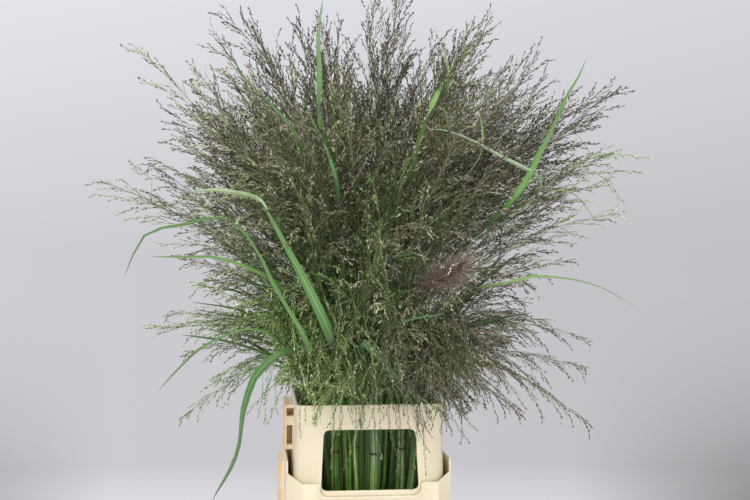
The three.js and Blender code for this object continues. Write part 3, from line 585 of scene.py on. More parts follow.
def add_panicle(spray, shoot, branches=BRANCHES):
    """The whole spray on one culm: its axis, its branches and the seeds at its tip."""
    curve, start, tone, green = shoot["curve"], shoot["start"], shoot["tone"], shoot["green"]
    end = shoot.get("end", 1.0)
    share = np.linspace(0, 1, 12)
    axis = curve_point(curve, between(start, end, share))
    spray.add_lines(axis[None], np.linspace(0.0011, 0.0004, 12)[None], STALK_TONE,
                    stalk_green(green))
    size = np.linalg.norm(axis[-1] - axis[0]) / 0.4
    droop, wide = shoot["droop"], shoot.get("wide", 1.0)
    for i in range(branches):
        share = 0.03 + 0.93 * i / (branches - 1)
        root = curve_point(curve, between(start, end, share))[0]
        aim = curve_aim(curve, between(start, end, share))[0]
        length = size * (0.022 + 0.175 * (1 - share) ** 0.8) * random.uniform(0.85, 1.12)
        turn = i * GOLDEN + shoot["phase"]
        open_low = wide * np.radians(between(25, 11, share) + random.uniform(-6, 6))
        first = opened(aim, turn, open_low)
        second = unit(opened(aim, turn, open_low + np.radians(9)) - UP * droop * 0.9)
        add_branch(spray, root, first, second, length, 0.0006, droop,
                   np.clip(tone + random.normal(0, VARIES["branch"]), 0, 1),
                   np.clip(green + random.normal(0, 0.10), 0, 1), grain=shoot.get("grain", 1.0))
    # bare threads between the branches: how many, from which tone to which, how green
    threads, low, high, hue = shoot.get("threads", (60, 0.05, 0.60, between(0.5, 0.95, green)))
    place = between(start, 1.0, random.uniform(0, 0.85, threads))
    aims = curve_aim(curve, place)
    out = opened(aims, random.uniform(0, math.tau, threads), random.uniform(0.1, 0.75, threads))
    lengths = shoot.get("fine", 1.0) * size * random.uniform(0.05, 0.16, threads) * (1.15 - place)
    spray.add_cases(curve_point(curve, place), unit(out - 0.3 * droop * UP),
                    shoot.get("hair", 0.00085), lengths,
                    random.uniform(low, high, threads), hue)
    near_tip = end * np.linspace(0.93, 0.995, 5)
    tip_roots, tip_aims = curve_point(curve, near_tip), curve_aim(curve, near_tip)
    add_branchlets(spray, tip_roots, tip_aims, np.full(5, 0.016), droop, tone, green)


print("a full-size panicle has about", BRANCHES, "branches")

# %% [markdown]
# The Geometry Nodes tree has named inputs: how many sides a stalk has, how full a case
# is, and the finish. Curve to Mesh sweeps a small ring along every edge, and the ring's
# size comes from the point's own thickness. The case starts as a cone of three sides, a
# tetrahedron. Shearing it makes one of its edges a straight spine, pointed at both
# ends, with a keel on either side, and it still has only four triangles. At two metres
# nobody sees more, and every face more is multiplied by a hundred thousand.

# %% The tree that makes stalks and cases
def build_spray_tree():
    tree = bpy.data.node_groups.new("stalks_and_spikelets", "GeometryNodeTree")
    face = tree.interface
    face.new_socket("Geometry", in_out="INPUT", socket_type="NodeSocketGeometry")
    sides = face.new_socket("Stalk sides", in_out="INPUT", socket_type="NodeSocketInt")
    full = face.new_socket("Case fullness", in_out="INPUT", socket_type="NodeSocketFloat")
    face.new_socket("Finish", in_out="INPUT", socket_type="NodeSocketMaterial")
    face.new_socket("Geometry", in_out="OUTPUT", socket_type="NodeSocketGeometry")
    sides.default_value, full.default_value = 3, 1.0

    def put(kind, inputs=(), **settings):
        return add_node(tree, kind, inputs, **settings)

    def wire(source, out, target, into):
        tree.links.new(source.outputs[out], target.inputs[into])

    def named(name, kind="FLOAT"):
        return put("GeometryNodeInputNamedAttribute", {"Name": name}, data_type=kind)

    given = put("NodeGroupInput")
    lines = put("GeometryNodeMeshToCurve")
    ring = put("GeometryNodeCurvePrimitiveCircle", {"Radius": 1.0})
    stalks = put("GeometryNodeCurveToMesh", {"Fill Caps": True})
    smooth = put("GeometryNodeSetShadeSmooth")
    wire(given, "Geometry", lines, "Mesh")
    wire(lines, "Curve", stalks, "Curve")
    wire(named("thick"), "Attribute", stalks, "Scale")
    wire(given, "Stalk sides", ring, "Resolution")
    wire(ring, "Curve", stalks, "Profile Curve")
    wire(stalks, "Mesh", smooth, "Geometry")

    cone = put("GeometryNodeMeshCone",
               {"Vertices": 3, "Radius Top": 0.0, "Radius Bottom": 0.5, "Depth": 1.0},
               fill_type="NGON")
    place = put("GeometryNodeInputPosition")
    parts = put("ShaderNodeSeparateXYZ")
    back = put("ShaderNodeMath", {1: 0.5}, operation="SUBTRACT")
    spine = put("ShaderNodeMath", {1: 0.5}, operation="MULTIPLY_ADD")
    low = put("ShaderNodeMath", {1: -0.6, 2: 0.3}, operation="MULTIPLY_ADD")
    rise = put("ShaderNodeMath", {1: 0.7}, operation="MULTIPLY_ADD")
    sheared = put("ShaderNodeCombineXYZ")
    case = put("GeometryNodeSetPosition")
    wire(place, "Position", parts, "Vector")
    wire(parts, "X", back, 0)
    wire(parts, "Z", spine, 0)
    wire(back, "Value", spine, 2)
    wire(parts, "X", low, 0)
    wire(parts, "Z", rise, 0)
    wire(low, "Value", rise, 2)
    wire(spine, "Value", sheared, "X")
    wire(parts, "Y", sheared, "Y")
    wire(rise, "Value", sheared, "Z")
    wire(cone, "Mesh", case, "Geometry")
    wire(sheared, "Vector", case, "Position")

    long, tone = named("long"), named("tone")
    is_case = put("FunctionNodeCompare", {"B": 0.0001}, data_type="FLOAT", operation="GREATER_THAN")
    turn = put("FunctionNodeAlignRotationToVector", axis="Z")
    much = put("ShaderNodeMath", {1: 97.0}, operation="MULTIPLY")
    roll = put("FunctionNodeAxisAngleToRotation", {"Axis": (0.0, 0.0, 1.0)})
    turned = put("FunctionNodeRotateRotation", rotation_space="LOCAL")
    width = put("ShaderNodeMath", operation="MULTIPLY")
    shape = put("ShaderNodeCombineXYZ")
    cases = put("GeometryNodeInstanceOnPoints")
    wire(long, "Attribute", is_case, "A")
    wire(named("aim", "FLOAT_VECTOR"), "Attribute", turn, "Vector")
    wire(tone, "Attribute", much, 0)
    wire(much, "Value", roll, "Angle")
    wire(turn, "Rotation", turned, "Rotation")
    wire(roll, "Rotation", turned, "Rotate By")
    wire(named("wide"), "Attribute", width, 0)
    wire(given, "Case fullness", width, 1)
    wire(width, "Value", shape, "X")
    wire(width, "Value", shape, "Y")
    wire(long, "Attribute", shape, "Z")
    wire(given, "Geometry", cases, "Points")
    wire(is_case, "Result", cases, "Selection")
    wire(case, "Geometry", cases, "Instance")
    wire(turned, "Rotation", cases, "Rotation")
    wire(shape, "Vector", cases, "Scale")

    both = put("GeometryNodeJoinGeometry")
    real = put("GeometryNodeRealizeInstances")
    painted = put("GeometryNodeSetMaterial")
    result = put("NodeGroupOutput")
    wire(smooth, "Geometry", both, "Geometry")
    wire(cases, "Instances", both, "Geometry")
    wire(both, "Geometry", real, "Geometry")
    wire(real, "Geometry", painted, "Geometry")
    wire(given, "Finish", painted, "Material")
    wire(painted, "Geometry", result, "Geometry")
    return tree


spray_tree = build_spray_tree()
print("tree inputs:", [s.name for s in spray_tree.interface.items_tree if s.in_out == "INPUT"])

# %% [markdown]
# The tree runs on a drawing as a modifier. Its inputs are set by the sockets' own
# identifiers, then the grown mesh is read back and the modifier is taken off, so that
# what is left is a plain mesh.

# %% Turning a drawing into a plain mesh
def grown_piece(name, drawing, tree, values):
    """Runs the tree on a drawing and keeps the result as a plain mesh object."""
    piece = bpy.data.objects.new(name, drawing.to_mesh(name + "_lines"))
    scene.collection.objects.link(piece)
    modifier = piece.modifiers.new("grow", "NODES")
    modifier.node_group = tree
    for socket in tree.interface.items_tree:
        if socket.name in values:
            modifier[socket.identifier] = values[socket.name]
    depsgraph = bpy.context.evaluated_depsgraph_get()
    mesh = bpy.data.meshes.new_from_object(
        piece.evaluated_get(depsgraph), preserve_all_data_layers=True, depsgraph=depsgraph)
    piece.modifiers.clear()
    lines, piece.data = piece.data, mesh
    bpy.data.meshes.remove(lines)
    mesh.name = name
    return piece


def triangles(piece):
    return sum(len(face.vertices) - 2 for face in piece.data.polygons)


print("pieces are made one at a time, each from its own drawing")

# %% [markdown]
# A spikelet's colour goes from nearly black purple over mauve to pale straw on ripe
# panicles, and from dark green to cream on those that are still green. Each seed has its
# own tone, so the spray sparkles instead of looking like felt. The finish mixes two
# colour ramps by the panicle's greenness, and fine noise mottles each small case.

# %% Finish of the sprays
def make_spray_finish(name):
    material, tree, shader = new_finish(name, 0.62)
    tone = attribute(tree, "tone")
    ripe = colour_ramp(tree, tone, [
        (0.0, (0.024, 0.014, 0.014)), (0.35, (0.105, 0.064, 0.057)),
        (0.62, (0.27, 0.185, 0.160)), (0.82, (0.53, 0.445, 0.36)), (1.0, (0.87, 0.82, 0.66)),
    ])
    unripe = colour_ramp(tree, tone, [
        (0.0, (0.013, 0.032, 0.008)), (0.35, (0.058, 0.130, 0.023)),
        (0.62, (0.170, 0.290, 0.068)), (0.82, (0.43, 0.57, 0.21)), (1.0, (0.82, 0.89, 0.55)),
    ])
    colour = blended(tree, attribute(tree, "green"), ripe, unripe)
    mottle = spread_value(tree, noise_at(tree, 420.0, 2.0), 0.3, 0.7, 0.72, 1.22)
    shaded = add_node(tree, "ShaderNodeVectorMath", operation="SCALE")
    tree.links.new(colour, shaded.inputs["Vector"])
    tree.links.new(mottle, shaded.inputs["Scale"])
    tree.links.new(shaded.outputs["Vector"], shader.inputs["Base Color"])
    husk = noise_at(tree, 260.0, 2.0)
    tree.links.new(spread_value(tree, husk, 0.3, 0.7, 0.5, 0.8), shader.inputs["Roughness"])
    add_relief(tree, shader, noise_at(tree, 1500.0, 1.0), 0.2, 0.0004)
    return material


spray_finish = make_spray_finish("seed_cases_and_stalks")
print("finish:", spray_finish.name)

# %% [markdown]
# A real bucket holds far more panicles than the solid model's forty. Beside each one
# stands a companion on a culm of its own, a little shorter and turned aside. From both
# grow side shoots. What is low on the left is still green, with a paler patch of green
# high up, and the rest is ripe. The tips at the top are the darkest and the fullest.

# %% Companions and side shoots
GREEN_PATCHES = (  # middle in X and Z, half width, half height, how green
    (-0.15, 0.44, 0.20, 0.22, 0.95), (-0.05, 0.80, 0.14, 0.18, 0.45),
)
TOP_FROM, TOP_OVER = 0.72, 0.20
FRONT_LIMIT = -0.385                  # no side shoot's tip comes nearer to the eye
STEEP = 0.7                           # radians, what leans less than this is kept shorter
COMPANIONS_HALF = (0.104, 0.150)      # how far out they stand at the mouth


def patch_of(x, z, middle_x, middle_z, wide, high, green):
    return green * math.exp(-((x - middle_x) / wide) ** 2 - ((z - middle_z) / high) ** 2)


def coloured(shoot, draw):
    """Sets a shoot's greenness and tone by where its tip is, each with some chance."""
    x, _, z = shoot["curve"][3]
    green = 0.14 + sum(patch_of(x, z, *patch) for patch in GREEN_PATCHES)
    shoot["green"] = float(np.clip(green + draw.normal(0, 0.22), 0, 1))
    top = float(np.clip((z - TOP_FROM) / TOP_OVER, 0, 1))
    shoot["tone"] = 0.46 + 0.18 * shoot["green"] - 0.12 * top + draw.normal(0, 0.10)
    shoot["grain"] = 1.0 + 0.18 * top
    shoot["phase"] = draw.uniform(0, math.tau)
    shoot.setdefault("droop", between(0.1, 0.6, shoot["spread"] ** 2))
    return shoot


def companion_of(stem):
    """A second culm close to a stem: it turns aside a little and is a bit shorter."""
    draw = np.random.default_rng(500 + stem["number"])
    heading = stem["heading"] + draw.choice([-1, 1]) * draw.uniform(0.15, 0.42)
    lean = stem["lean"] * draw.uniform(0.86, 1.0) + math.radians(draw.uniform(-3, 2))
    spread = min(stem["spread"] * draw.uniform(0.8, 1.0), 0.9)
    mouth = spot_at(spread, heading, COMPANIONS_HALF, MOUTH_Z)
    longest = 0.90 if stem["lean"] < STEEP else 0.98
    reach = reach_for(stem["lean"]) * draw.uniform(0.76, longest)
    return coloured({**stem, "heading": heading, "lean": lean, "spread": spread, "at_mouth": mouth,
                     "curve": culm_curve(heading, lean, mouth, reach),
                     "start": stem["start"] * 1.05}, draw)


def shoot_from(parent, share, heading, lean, reach, draw, **more):
    """A side shoot that leaves its parent's culm and grows its own panicle."""
    root = curve_point(parent["curve"], share)[0]
    curve = culm_curve(heading, lean, root, reach)
    curve[1:3] += draw.normal(0, 0.06, (2, 3)) * reach
    curve[3][1] = max(curve[3][1], FRONT_LIMIT)
    return coloured({"curve": curve, "start": draw.uniform(0.2, 0.34), "spread": parent["spread"],
                     "number": parent["number"], **more}, draw)


def side_shoot(parent, draw):
    heading = parent["heading"] + draw.normal(0, 0.38)
    lean = parent["lean"] * draw.uniform(0.74, 1.06) + math.radians(draw.uniform(-4, 5))
    longest = 0.84 if lean < STEEP else 0.94
    reach = reach_for(lean) * draw.uniform(0.56, longest)
    return shoot_from(parent, draw.uniform(0.02, 0.16), heading, lean, reach, draw)


for stem in stems:
    coloured(stem, np.random.default_rng(900 + stem["number"]))
    if 0.15 < stem["lean"] < 0.62:
        stem["end"] = 0.90
    if stem["curve"][3][1] < -0.38:
        stem["end"] = 0.95
companions = [companion_of(stem) for stem in stems]
draw = np.random.default_rng(77)
side_shoots = [side_shoot(parent, draw) for parent in stems + companions]
print("companions:", len(companions), "side shoots:", len(side_shoots))

# %% [markdown]
# More shoots fill the dome where it would be thin. Each group is one row of a table: how
# many, which way they head, how far they lean and how long they are. A shoot always
# grows from the stem that leans most nearly the same way, so none hangs in the air.

# %% Shoots that fill the dome
def within(low, high):
    return lambda: draw.uniform(low, high)


def about(middle, spread):
    return lambda: draw.normal(middle, spread)


def grow(heading, lean, reach, root, **more):
    parent = min(stems, key=lambda s: abs(s["lean"] - lean) - math.cos(s["heading"] - heading))
    shoot = shoot_from(parent, root, heading, lean, reach, draw, **more)
    side_shoots.append(shoot)
    return shoot


INNER = 44
for place in range(INNER):
    heading, lean = place * GOLDEN + 1.1, math.radians(draw.uniform(36, 88))
    grow(heading, lean, reach_for(lean) * draw.uniform(0.45, 0.9), 0.05)

SIDES = [(11, about(0.0, 0.55), (18, 56)), (9, about(math.pi, 0.35), (34, 52))]
for count, heading_in, lean_in in SIDES:
    for _ in range(count):
        heading, lean = heading_in(), math.radians(draw.uniform(*lean_in))
        grow(heading, lean, reach_for(lean) * draw.uniform(0.85, 0.99), 0.05)

LOW_FRONT, HIGH_FRONT = 26, 78
FRONT_LOOK = {"start": 0.2, "wide": 1.5, "fine": 0.6, "hair": 0.0011, "grain": 1.2}
for place in range(LOW_FRONT + HIGH_FRONT):
    low = place < LOW_FRONT
    heading = math.radians(draw.uniform(-150, -30))
    lean = math.radians(draw.uniform(45, 92) if low else draw.uniform(30, 80))
    reach = draw.uniform(0.24, 0.42) if low else reach_for(lean) * draw.uniform(0.70, 0.95)
    shoot = grow(heading, lean, reach, 0.03, droop=draw.uniform(0.3, 0.9))
    shoot["curve"][1:3] += draw.normal(0, 0.08, (2, 3)) * reach
    shoot.update(FRONT_LOOK, tone=shoot["tone"] + 0.03,
                 threads=(170, 0.35, 0.88, between(0.3, 0.9, shoot["green"])))
print("shoots so far:", len(side_shoots))

# %% [markdown]
# The fans are laid one by one: pale ones high on the right, dark ones below them that
# hang, and two pale ones on the left. The rest is filled by table again.

# %% Fans and fillers
FANS = [  # heading, lean in degrees, reach, droop, green, tone
    (-0.10, 46, 0.67, 0.1, 0.8, 0.74), (0.05, 50, 0.65, 0.1, 0.7, 0.70),
    (-0.15, 55, 0.61, 0.2, 0.8, 0.76), (0.10, 58, 0.58, 0.3, 0.6, 0.66),
    (-0.20, 76, 0.45, 0.9, 0.1, 0.46), (0.05, 84, 0.45, 1.0, 0.1, 0.50),
    (-0.30, 96, 0.44, 0.9, 0.1, 0.44),
    (3.30, 78, 0.40, 0.3, 0.7, 0.66), (3.05, 72, 0.42, 0.3, 0.8, 0.70),
]
for heading, lean, reach, droop, green, tone in FANS:
    grow(heading, math.radians(lean), reach, 0.03, droop=droop).update(green=green, tone=tone)

FRESH = {"start": 0.15, "green": 1.0, "tone": 0.76, "hair": 0.0010,
         "threads": (320, 0.55, 0.90, 1.0)}
FILLERS = [  # how many, heading, lean in degrees, reach, look
    (7, within(-0.7, 0.6), (74, 98), (0.15, 0.23), {}),         # over the rim, right
    (9, about(math.pi, 0.5), (17, 32), (0.54, 0.66), {}),       # left shoulder
    (8, about(math.pi, 0.2), (41, 52), (0.54, 0.62), {}),       # left
    (2, about(math.pi, 0.25), (18, 24), (0.71, 0.78), {}),      # tall, left
    (7, about(0.0, 0.3), (25, 37), (0.66, 0.72), {}),           # tall, right
    (11, within(0, math.tau), (6, 32), (0.60, 0.72), {}),       # the top
    (16, within(0.3, 2.9), (46, 96), (0.22, 0.42), {}),         # low at the back
    (16, within(-2.5, -1.6), (50, 92), (0.18, 0.34), FRESH),    # low in front, left
]
for count, heading_in, lean_in, reach_in, look in FILLERS:
    for _ in range(count):
        heading, lean = heading_in(), math.radians(draw.uniform(*lean_in))
        reach = draw.uniform(*reach_in)
        grow(heading, lean, reach, 0.02, droop=0.8 if reach < 0.4 else 0.2).update(look)
print("fans:", len(FANS), "fillers:", sum(row[0] for row in FILLERS))

# %% [markdown]
# A skirt of short, hanging sprays goes all the way round the rim, where the grass spills
# over. One panicle on the right is downy: its seeds sit among long soft hairs. At last
# the left is thinned, because there the dome has hardly a shoot low down or far out.

# %% Skirt, downy panicle and thinning
SKIRT = 26
outer_stems = [stem for stem in stems if stem["spread"] > 0.6]
for place in range(SKIRT):
    heading = place * GOLDEN + 0.4
    owner = min(outer_stems, key=lambda s: -math.cos(s["heading"] - heading))
    reach, lean = draw.uniform(0.18, 0.27), math.radians(draw.uniform(62, 98))
    side_shoots.append(shoot_from(owner, 0.02, heading, lean, reach, draw,
                                  droop=draw.uniform(0.7, 1.3)))

downy = shoot_from(stems[20], 0.05, -1.28, math.radians(60), 0.54, draw, droop=0.35)
downy.update(green=0.0, tone=0.70, start=0.45, wide=2.6, hair=0.0007, fine=2.3,
             threads=(1300, 0.50, 0.86, 0.0))
side_shoots.append(downy)


def crowded(shoot):
    x, _, z = shoot["curve"][3]
    low_left = x < -0.17 and z < 0.46
    far_left = x < -0.40 and 0.60 < z < 0.95
    far_right = x > 0.33 and 0.42 < z < 0.68 and shoot["number"] % 2 > 0
    return low_left or far_left or far_right


side_shoots = [shoot for shoot in side_shoots if not crowded(shoot)]
companions = [shoot for shoot in companions if not crowded(shoot)]
shoots = stems + companions + side_shoots
print("panicles:", len(shoots))

# %% [markdown]
# Some strings of seeds hang over the collar's rim in front, and a few pale wisps reach
# past the dome on both sides. These are laid one by one. Each row gives where a string
# starts and ends, as X and Z in millimetres on the plane through the bucket's middle,
# and a wisp's row ends with its greenness. The string is then pulled towards the eye,
# so that it still covers the same spot from the front.

# %% Strings and wisps
EYE = np.array(camera.location)
HANGING = [
    (-117, 330, -123, 270), (-105, 330, -111, 299), (-86, 332, -90, 305), (-47, 330, -70, 270),
    (-50, 335, -57, 206), (-26, 332, -22, 293), (-37, 335, -31, 272), (-8, 335, 0, 187),
    (25, 332, 21, 218), (29, 330, 13, 280), (38, 332, 35, 280), (54, 332, 48, 218),
    (62, 332, 71, 286), (75, 335, 81, 198), (91, 335, 89, 268), (100, 335, 104, 227),
    (102, 330, 135, 256), (112, 332, 137, 194), (118, 330, 143, 282), (112, 335, 112, 160),
    (155, 345, 201, 247), (150, 350, 229, 280), (-190, 385, -183, 307), (-175, 395, -194, 334),
]
WISPS = [
    (-379, 706, -520, 744, 0.9), (-360, 690, -460, 690, 0.7), (455, 815, 570, 822, 0.85),
    (446, 790, 540, 748, 0.7), (430, 770, 545, 800, 0.5), (-400, 760, -455, 800, 0.3),
]


def at_depth(x, z, y):
    """The point at depth y that covers the middle plane's (x, z), seen from the eye."""
    share = (y - EYE[1]) / (0 - EYE[1])
    return EYE + (np.array([x, 0.0, z]) - EYE) * share


def nearest_shoot(target):
    """The stem whose panicle passes nearest to a point, and where it does."""
    rows = [curve_point(stem["curve"], np.linspace(0.3, 0.95, 14)) for stem in stems]
    gaps = [np.linalg.norm(row - target, axis=1) for row in rows]
    owner = int(np.argmin([gap.min() for gap in gaps]))
    return owner, rows[owner][int(np.argmin(gaps[owner]))]


def add_string(drawings, start, end, green, tone, side):
    """A hanging or reaching branch, tied by a thin stalk to the nearest panicle."""
    owner, root = nearest_shoot(start)
    first, length = unit(end - start), float(np.linalg.norm(end - start))
    spray = drawings[owner]
    path = np.array([root, between(root, start, 0.5) + 0.01 * UP, start])
    spray.add_lines(path[None], 0.0004, 0.35, stalk_green(green))
    second = unit(first - 0.2 * UP + random.normal(0, 0.3, 3))
    add_branch(spray, start, first, second, length, 0.00045, 0.3, tone, green, side)


print("hanging strings:", len(HANGING), "wisps:", len(WISPS))

# %% [markdown]
# Every shoot is drawn into the drawing of the stem it grows from, so that there are as
# many sprays as stems. A veil of strings falls over the rim in front, and a fringe hangs
# all the way round it. When a drawing is complete, what is deep inside the dome is painted
# darker as shade and loses most of its seeds.

# %% Shoots and strings into forty drawings
FEWER = 12                            # branches on a short shoot, and far out on the left
VEIL, FRINGE = 150, 90
HANGING_DEPTH, WISP_DEPTHS = -0.214, (-0.12, -0.20)

drawings = [Drawing() for _ in stems]
for shoot in shoots:
    tip = shoot["curve"][3]
    short = np.linalg.norm(tip - shoot["curve"][0]) < 0.5
    far_left = tip[0] < -0.36 and tip[2] > 0.6
    add_panicle(drawings[shoot["number"]], shoot, FEWER if short or far_left else BRANCHES)
for shoot in side_shoots:
    culm = curve_point(shoot["curve"], np.linspace(0, shoot["start"], 6))
    drawings[shoot["number"]].add_lines(culm[None], 0.0013, 0.4, 1.0)
for x0, z0, x1, z1 in HANGING:
    y = HANGING_DEPTH - 0.02 * random.random()
    green = float(np.clip(0.35 - 3.0 * x1 / 1000, 0.05, 0.9))
    add_string(drawings, at_depth(x0 / 1000, z0 / 1000, y), at_depth(x1 / 1000, z1 / 1000, y),
               green, 0.50 + 0.1 * green, 0.42)
for place in range(VEIL):
    x, y = draw.uniform(-0.17 if place % 3 else 0.0, 0.17), draw.uniform(-0.29, -0.20)
    start = np.array([x, y, draw.uniform(0.385, 0.60)])
    aside, nearer = draw.normal(0, 0.045), draw.uniform(-0.03, 0.0)
    end = start + np.array([aside, nearer, draw.uniform(-0.15, -0.05)])
    end[2] = max(end[2], draw.uniform(0.318, 0.39))
    green = float(np.clip(0.42 - 4.5 * x + draw.normal(0, 0.15), 0.05, 1.0))
    add_string(drawings, start, end, green, 0.26 + 0.42 * green, 0.6)
for _ in range(FRINGE):
    turn = draw.uniform(-0.9, math.pi - 0.5) if draw.random() < 0.6 else draw.uniform(-0.9, 0.5)
    out = np.array([math.cos(turn), math.sin(turn), 0.0])
    start = out * [0.165, 0.215, 0] * draw.uniform(0.68, 1.2) + UP * draw.uniform(0.37, 0.47)
    fall = draw.uniform(0.03, 0.08) if out[0] < -0.3 else draw.uniform(0.06, 0.14)
    end = start + out * draw.uniform(0.0, 0.05) - UP * fall
    add_string(drawings, start, end, draw.uniform(0.3, 0.8), 0.48, 0.5)
for x0, z0, x1, z1, green in WISPS:
    start = at_depth(x0 / 1000, z0 / 1000, WISP_DEPTHS[0])
    end = at_depth(x1 / 1000, z1 / 1000, WISP_DEPTHS[1])
    add_string(drawings, start, end, green, 0.78, 0.8)
# deep in the dome the tones get painted shade, and most hidden seeds are left out
for drawing in drawings:
    drawing.paint_shade_and_thin(depth_of, 0.85, 0.22)
print("points drawn:", sum(drawing.count for drawing in drawings))

# %% [markdown]
# The tree turns each drawing into one piece. It takes the place of the solid model's
# panicle on the same culm.

# %% Drawings into forty sprays
SLOT_RIPE, SLOT_GREEN = "panicle_purple", "panicle_green"
SPRAY_VALUES = {"Stalk sides": 3, "Case fullness": 1.0, "Finish": spray_finish}


def finish_piece(piece, slot, *replaced):
    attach(piece, "root")
    if replaced:
        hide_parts(*replaced)
    return piece


sprays = []
for stem, drawing in zip(stems, drawings):
    number = stem["number"] + 1
    piece = grown_piece(f"spray_{number}", drawing, spray_tree, SPRAY_VALUES)
    finish_piece(piece, SLOT_GREEN if stem["unripe"] else SLOT_RIPE, f"panicle_{number}")
    sprays.append(piece)
cases = sum(int(np.sum(np.concatenate(d.rows["long"]) > 0)) for d in drawings)
print("sprays:", len(sprays), "triangles:", sum(triangles(p) for p in sprays), "cases:", cases)

# %% [markdown]
# ## Culms
# A grass culm is a round green cane with a slightly swollen joint every hand's breadth.
# In the water and through the rubber band the five culms of a bunch run straight and
# close. The stalk tree serves again: each culm is one line of points, thick at the
# joints, swept with seven sides. Loose culms between the bunches carry companions.

# %% Lines of the culms
CULM_RADIUS = 0.0032
JOINT_GAP, SWELLING = 0.115, 0.32
JOINT_POINTS = (-0.006, -0.0015, 0.0015, 0.006)     # from a joint's middle
LOOSE_IN_FIVE, LOOSE_TRIES = 3, 400
LOOSE_HALF, NEAR_ENOUGH = (0.112, 0.152), 0.055     # where the foot of a loose culm may be
CLEAR_OF_LOOSE, CLEAR_OF_BUNCH = 0.0062, 0.0150


def smooth_line(points, count):
    """Evenly spaced points on a curve through the given ones."""
    points = np.asarray(points, float)
    step = np.linalg.norm(np.diff(points, axis=0), axis=1)
    at = np.concatenate([[0], np.cumsum(step)])
    slopes = np.gradient(points, at, axis=0)
    where = np.linspace(0, at[-1], count)
    piece = np.clip(np.searchsorted(at, where, side="right") - 1, 0, len(step) - 1)
    width = step[piece][:, None]
    s = ((where - at[piece]) / step[piece])[:, None]
    a, b, m, n = points[piece], points[piece + 1], slopes[piece] * width, slopes[piece + 1] * width
    return (
        (2 * s**3 - 3 * s**2 + 1) * a + (s**3 - 2 * s**2 + s) * m
        + (3 * s**2 - 2 * s**3) * b + (s**3 - s**2) * n
    )


def culm_line(stem):
    """A culm's line, with four points at every joint, and its thickness at each point."""
    rise = curve_point(stem["curve"], np.linspace(0, stem["start"], 6))
    even = smooth_line([stem["foot"], *stem["tie"], *rise], 60)
    run = np.concatenate([[0], np.cumsum(np.linalg.norm(np.diff(even, axis=0), axis=1))])
    joints = np.arange(0.03 + 0.017 * (stem["number"] % 5), run[-1] - 0.01, JOINT_GAP)
    beside = (joints[:, None] + JOINT_POINTS).ravel()
    plain = [at for at in np.linspace(0, run[-1], 20) if np.abs(joints - at).min() > 0.012]
    stops = np.unique(np.concatenate([plain, beside]))
    line = np.stack([np.interp(stops, run, even[:, axis]) for axis in range(3)], 1)
    swelling = 1 + SWELLING * (np.abs(stops[:, None] - joints).min(axis=1) < 0.002)
    return line, CULM_RADIUS * np.interp(stops / run[-1], [0, 0.5, 1], [1.0, 0.92, 0.5]) * swelling


def loose_foot(companion, taken):
    """A place on the bucket's floor for a companion's culm, clear of those before it."""
    draw = np.random.default_rng(700 + companion["number"])
    wish = companion["at_mouth"][:2]
    for _ in range(LOOSE_TRIES):
        spread = math.sqrt(draw.random()) * 0.93
        spot = spot_at(spread, draw.uniform(0, math.tau), LOOSE_HALF, 0.0)[:2]
        if np.linalg.norm(spot - wish) > NEAR_ENOUGH:
            continue
        if all(np.linalg.norm(spot - other) > gap for other, gap in taken):
            taken.append((spot, CLEAR_OF_LOOSE))
            return spot
    return None


taken = [(TIED_IN * bunch["middle"][:2], CLEAR_OF_BUNCH) for bunch in bunches]
loose = []
for companion in companions:
    wanted = companion["number"] % 5 < LOOSE_IN_FIVE
    spot = loose_foot(companion, taken) if wanted else None
    if spot is None:
        continue
    companion["foot"] = np.append(0.62 * spot, FOOT_Z)
    companion["tie"] = [np.append(share * spot, z) for share, z in ((0.93, 0.19), (1.04, 0.29))]
    companion["curve"][0][:2] = between(spot, companion["at_mouth"][:2], 0.5)
    loose.append(companion)
print("culms:", len(stems), "in bunches and", len(loose), "loose")

# %% [markdown]
# ## Leaves
# A grass blade is a long strap, folded a little along its midrib, widest near its foot
# and drawn out to a fine point. It is flat, so it is drawn by rows of four points: two
# edges, the top of the midrib and its underside. That keeps every blade closed, and it
# takes eight triangles a row. The map laid on it runs across and along, so that the
# veins in its finish follow the blade wherever it bends.

# %% Blades
BLADE_ROWS = 17


def roll_about(vectors, axes, angle):
    """Turns each vector about its own axis."""
    angle = np.asarray(angle)[..., None]
    return (vectors * np.cos(angle) + np.cross(axes, vectors) * np.sin(angle)
            + axes * np.sum(axes * vectors, axis=-1, keepdims=True) * (1 - np.cos(angle)))


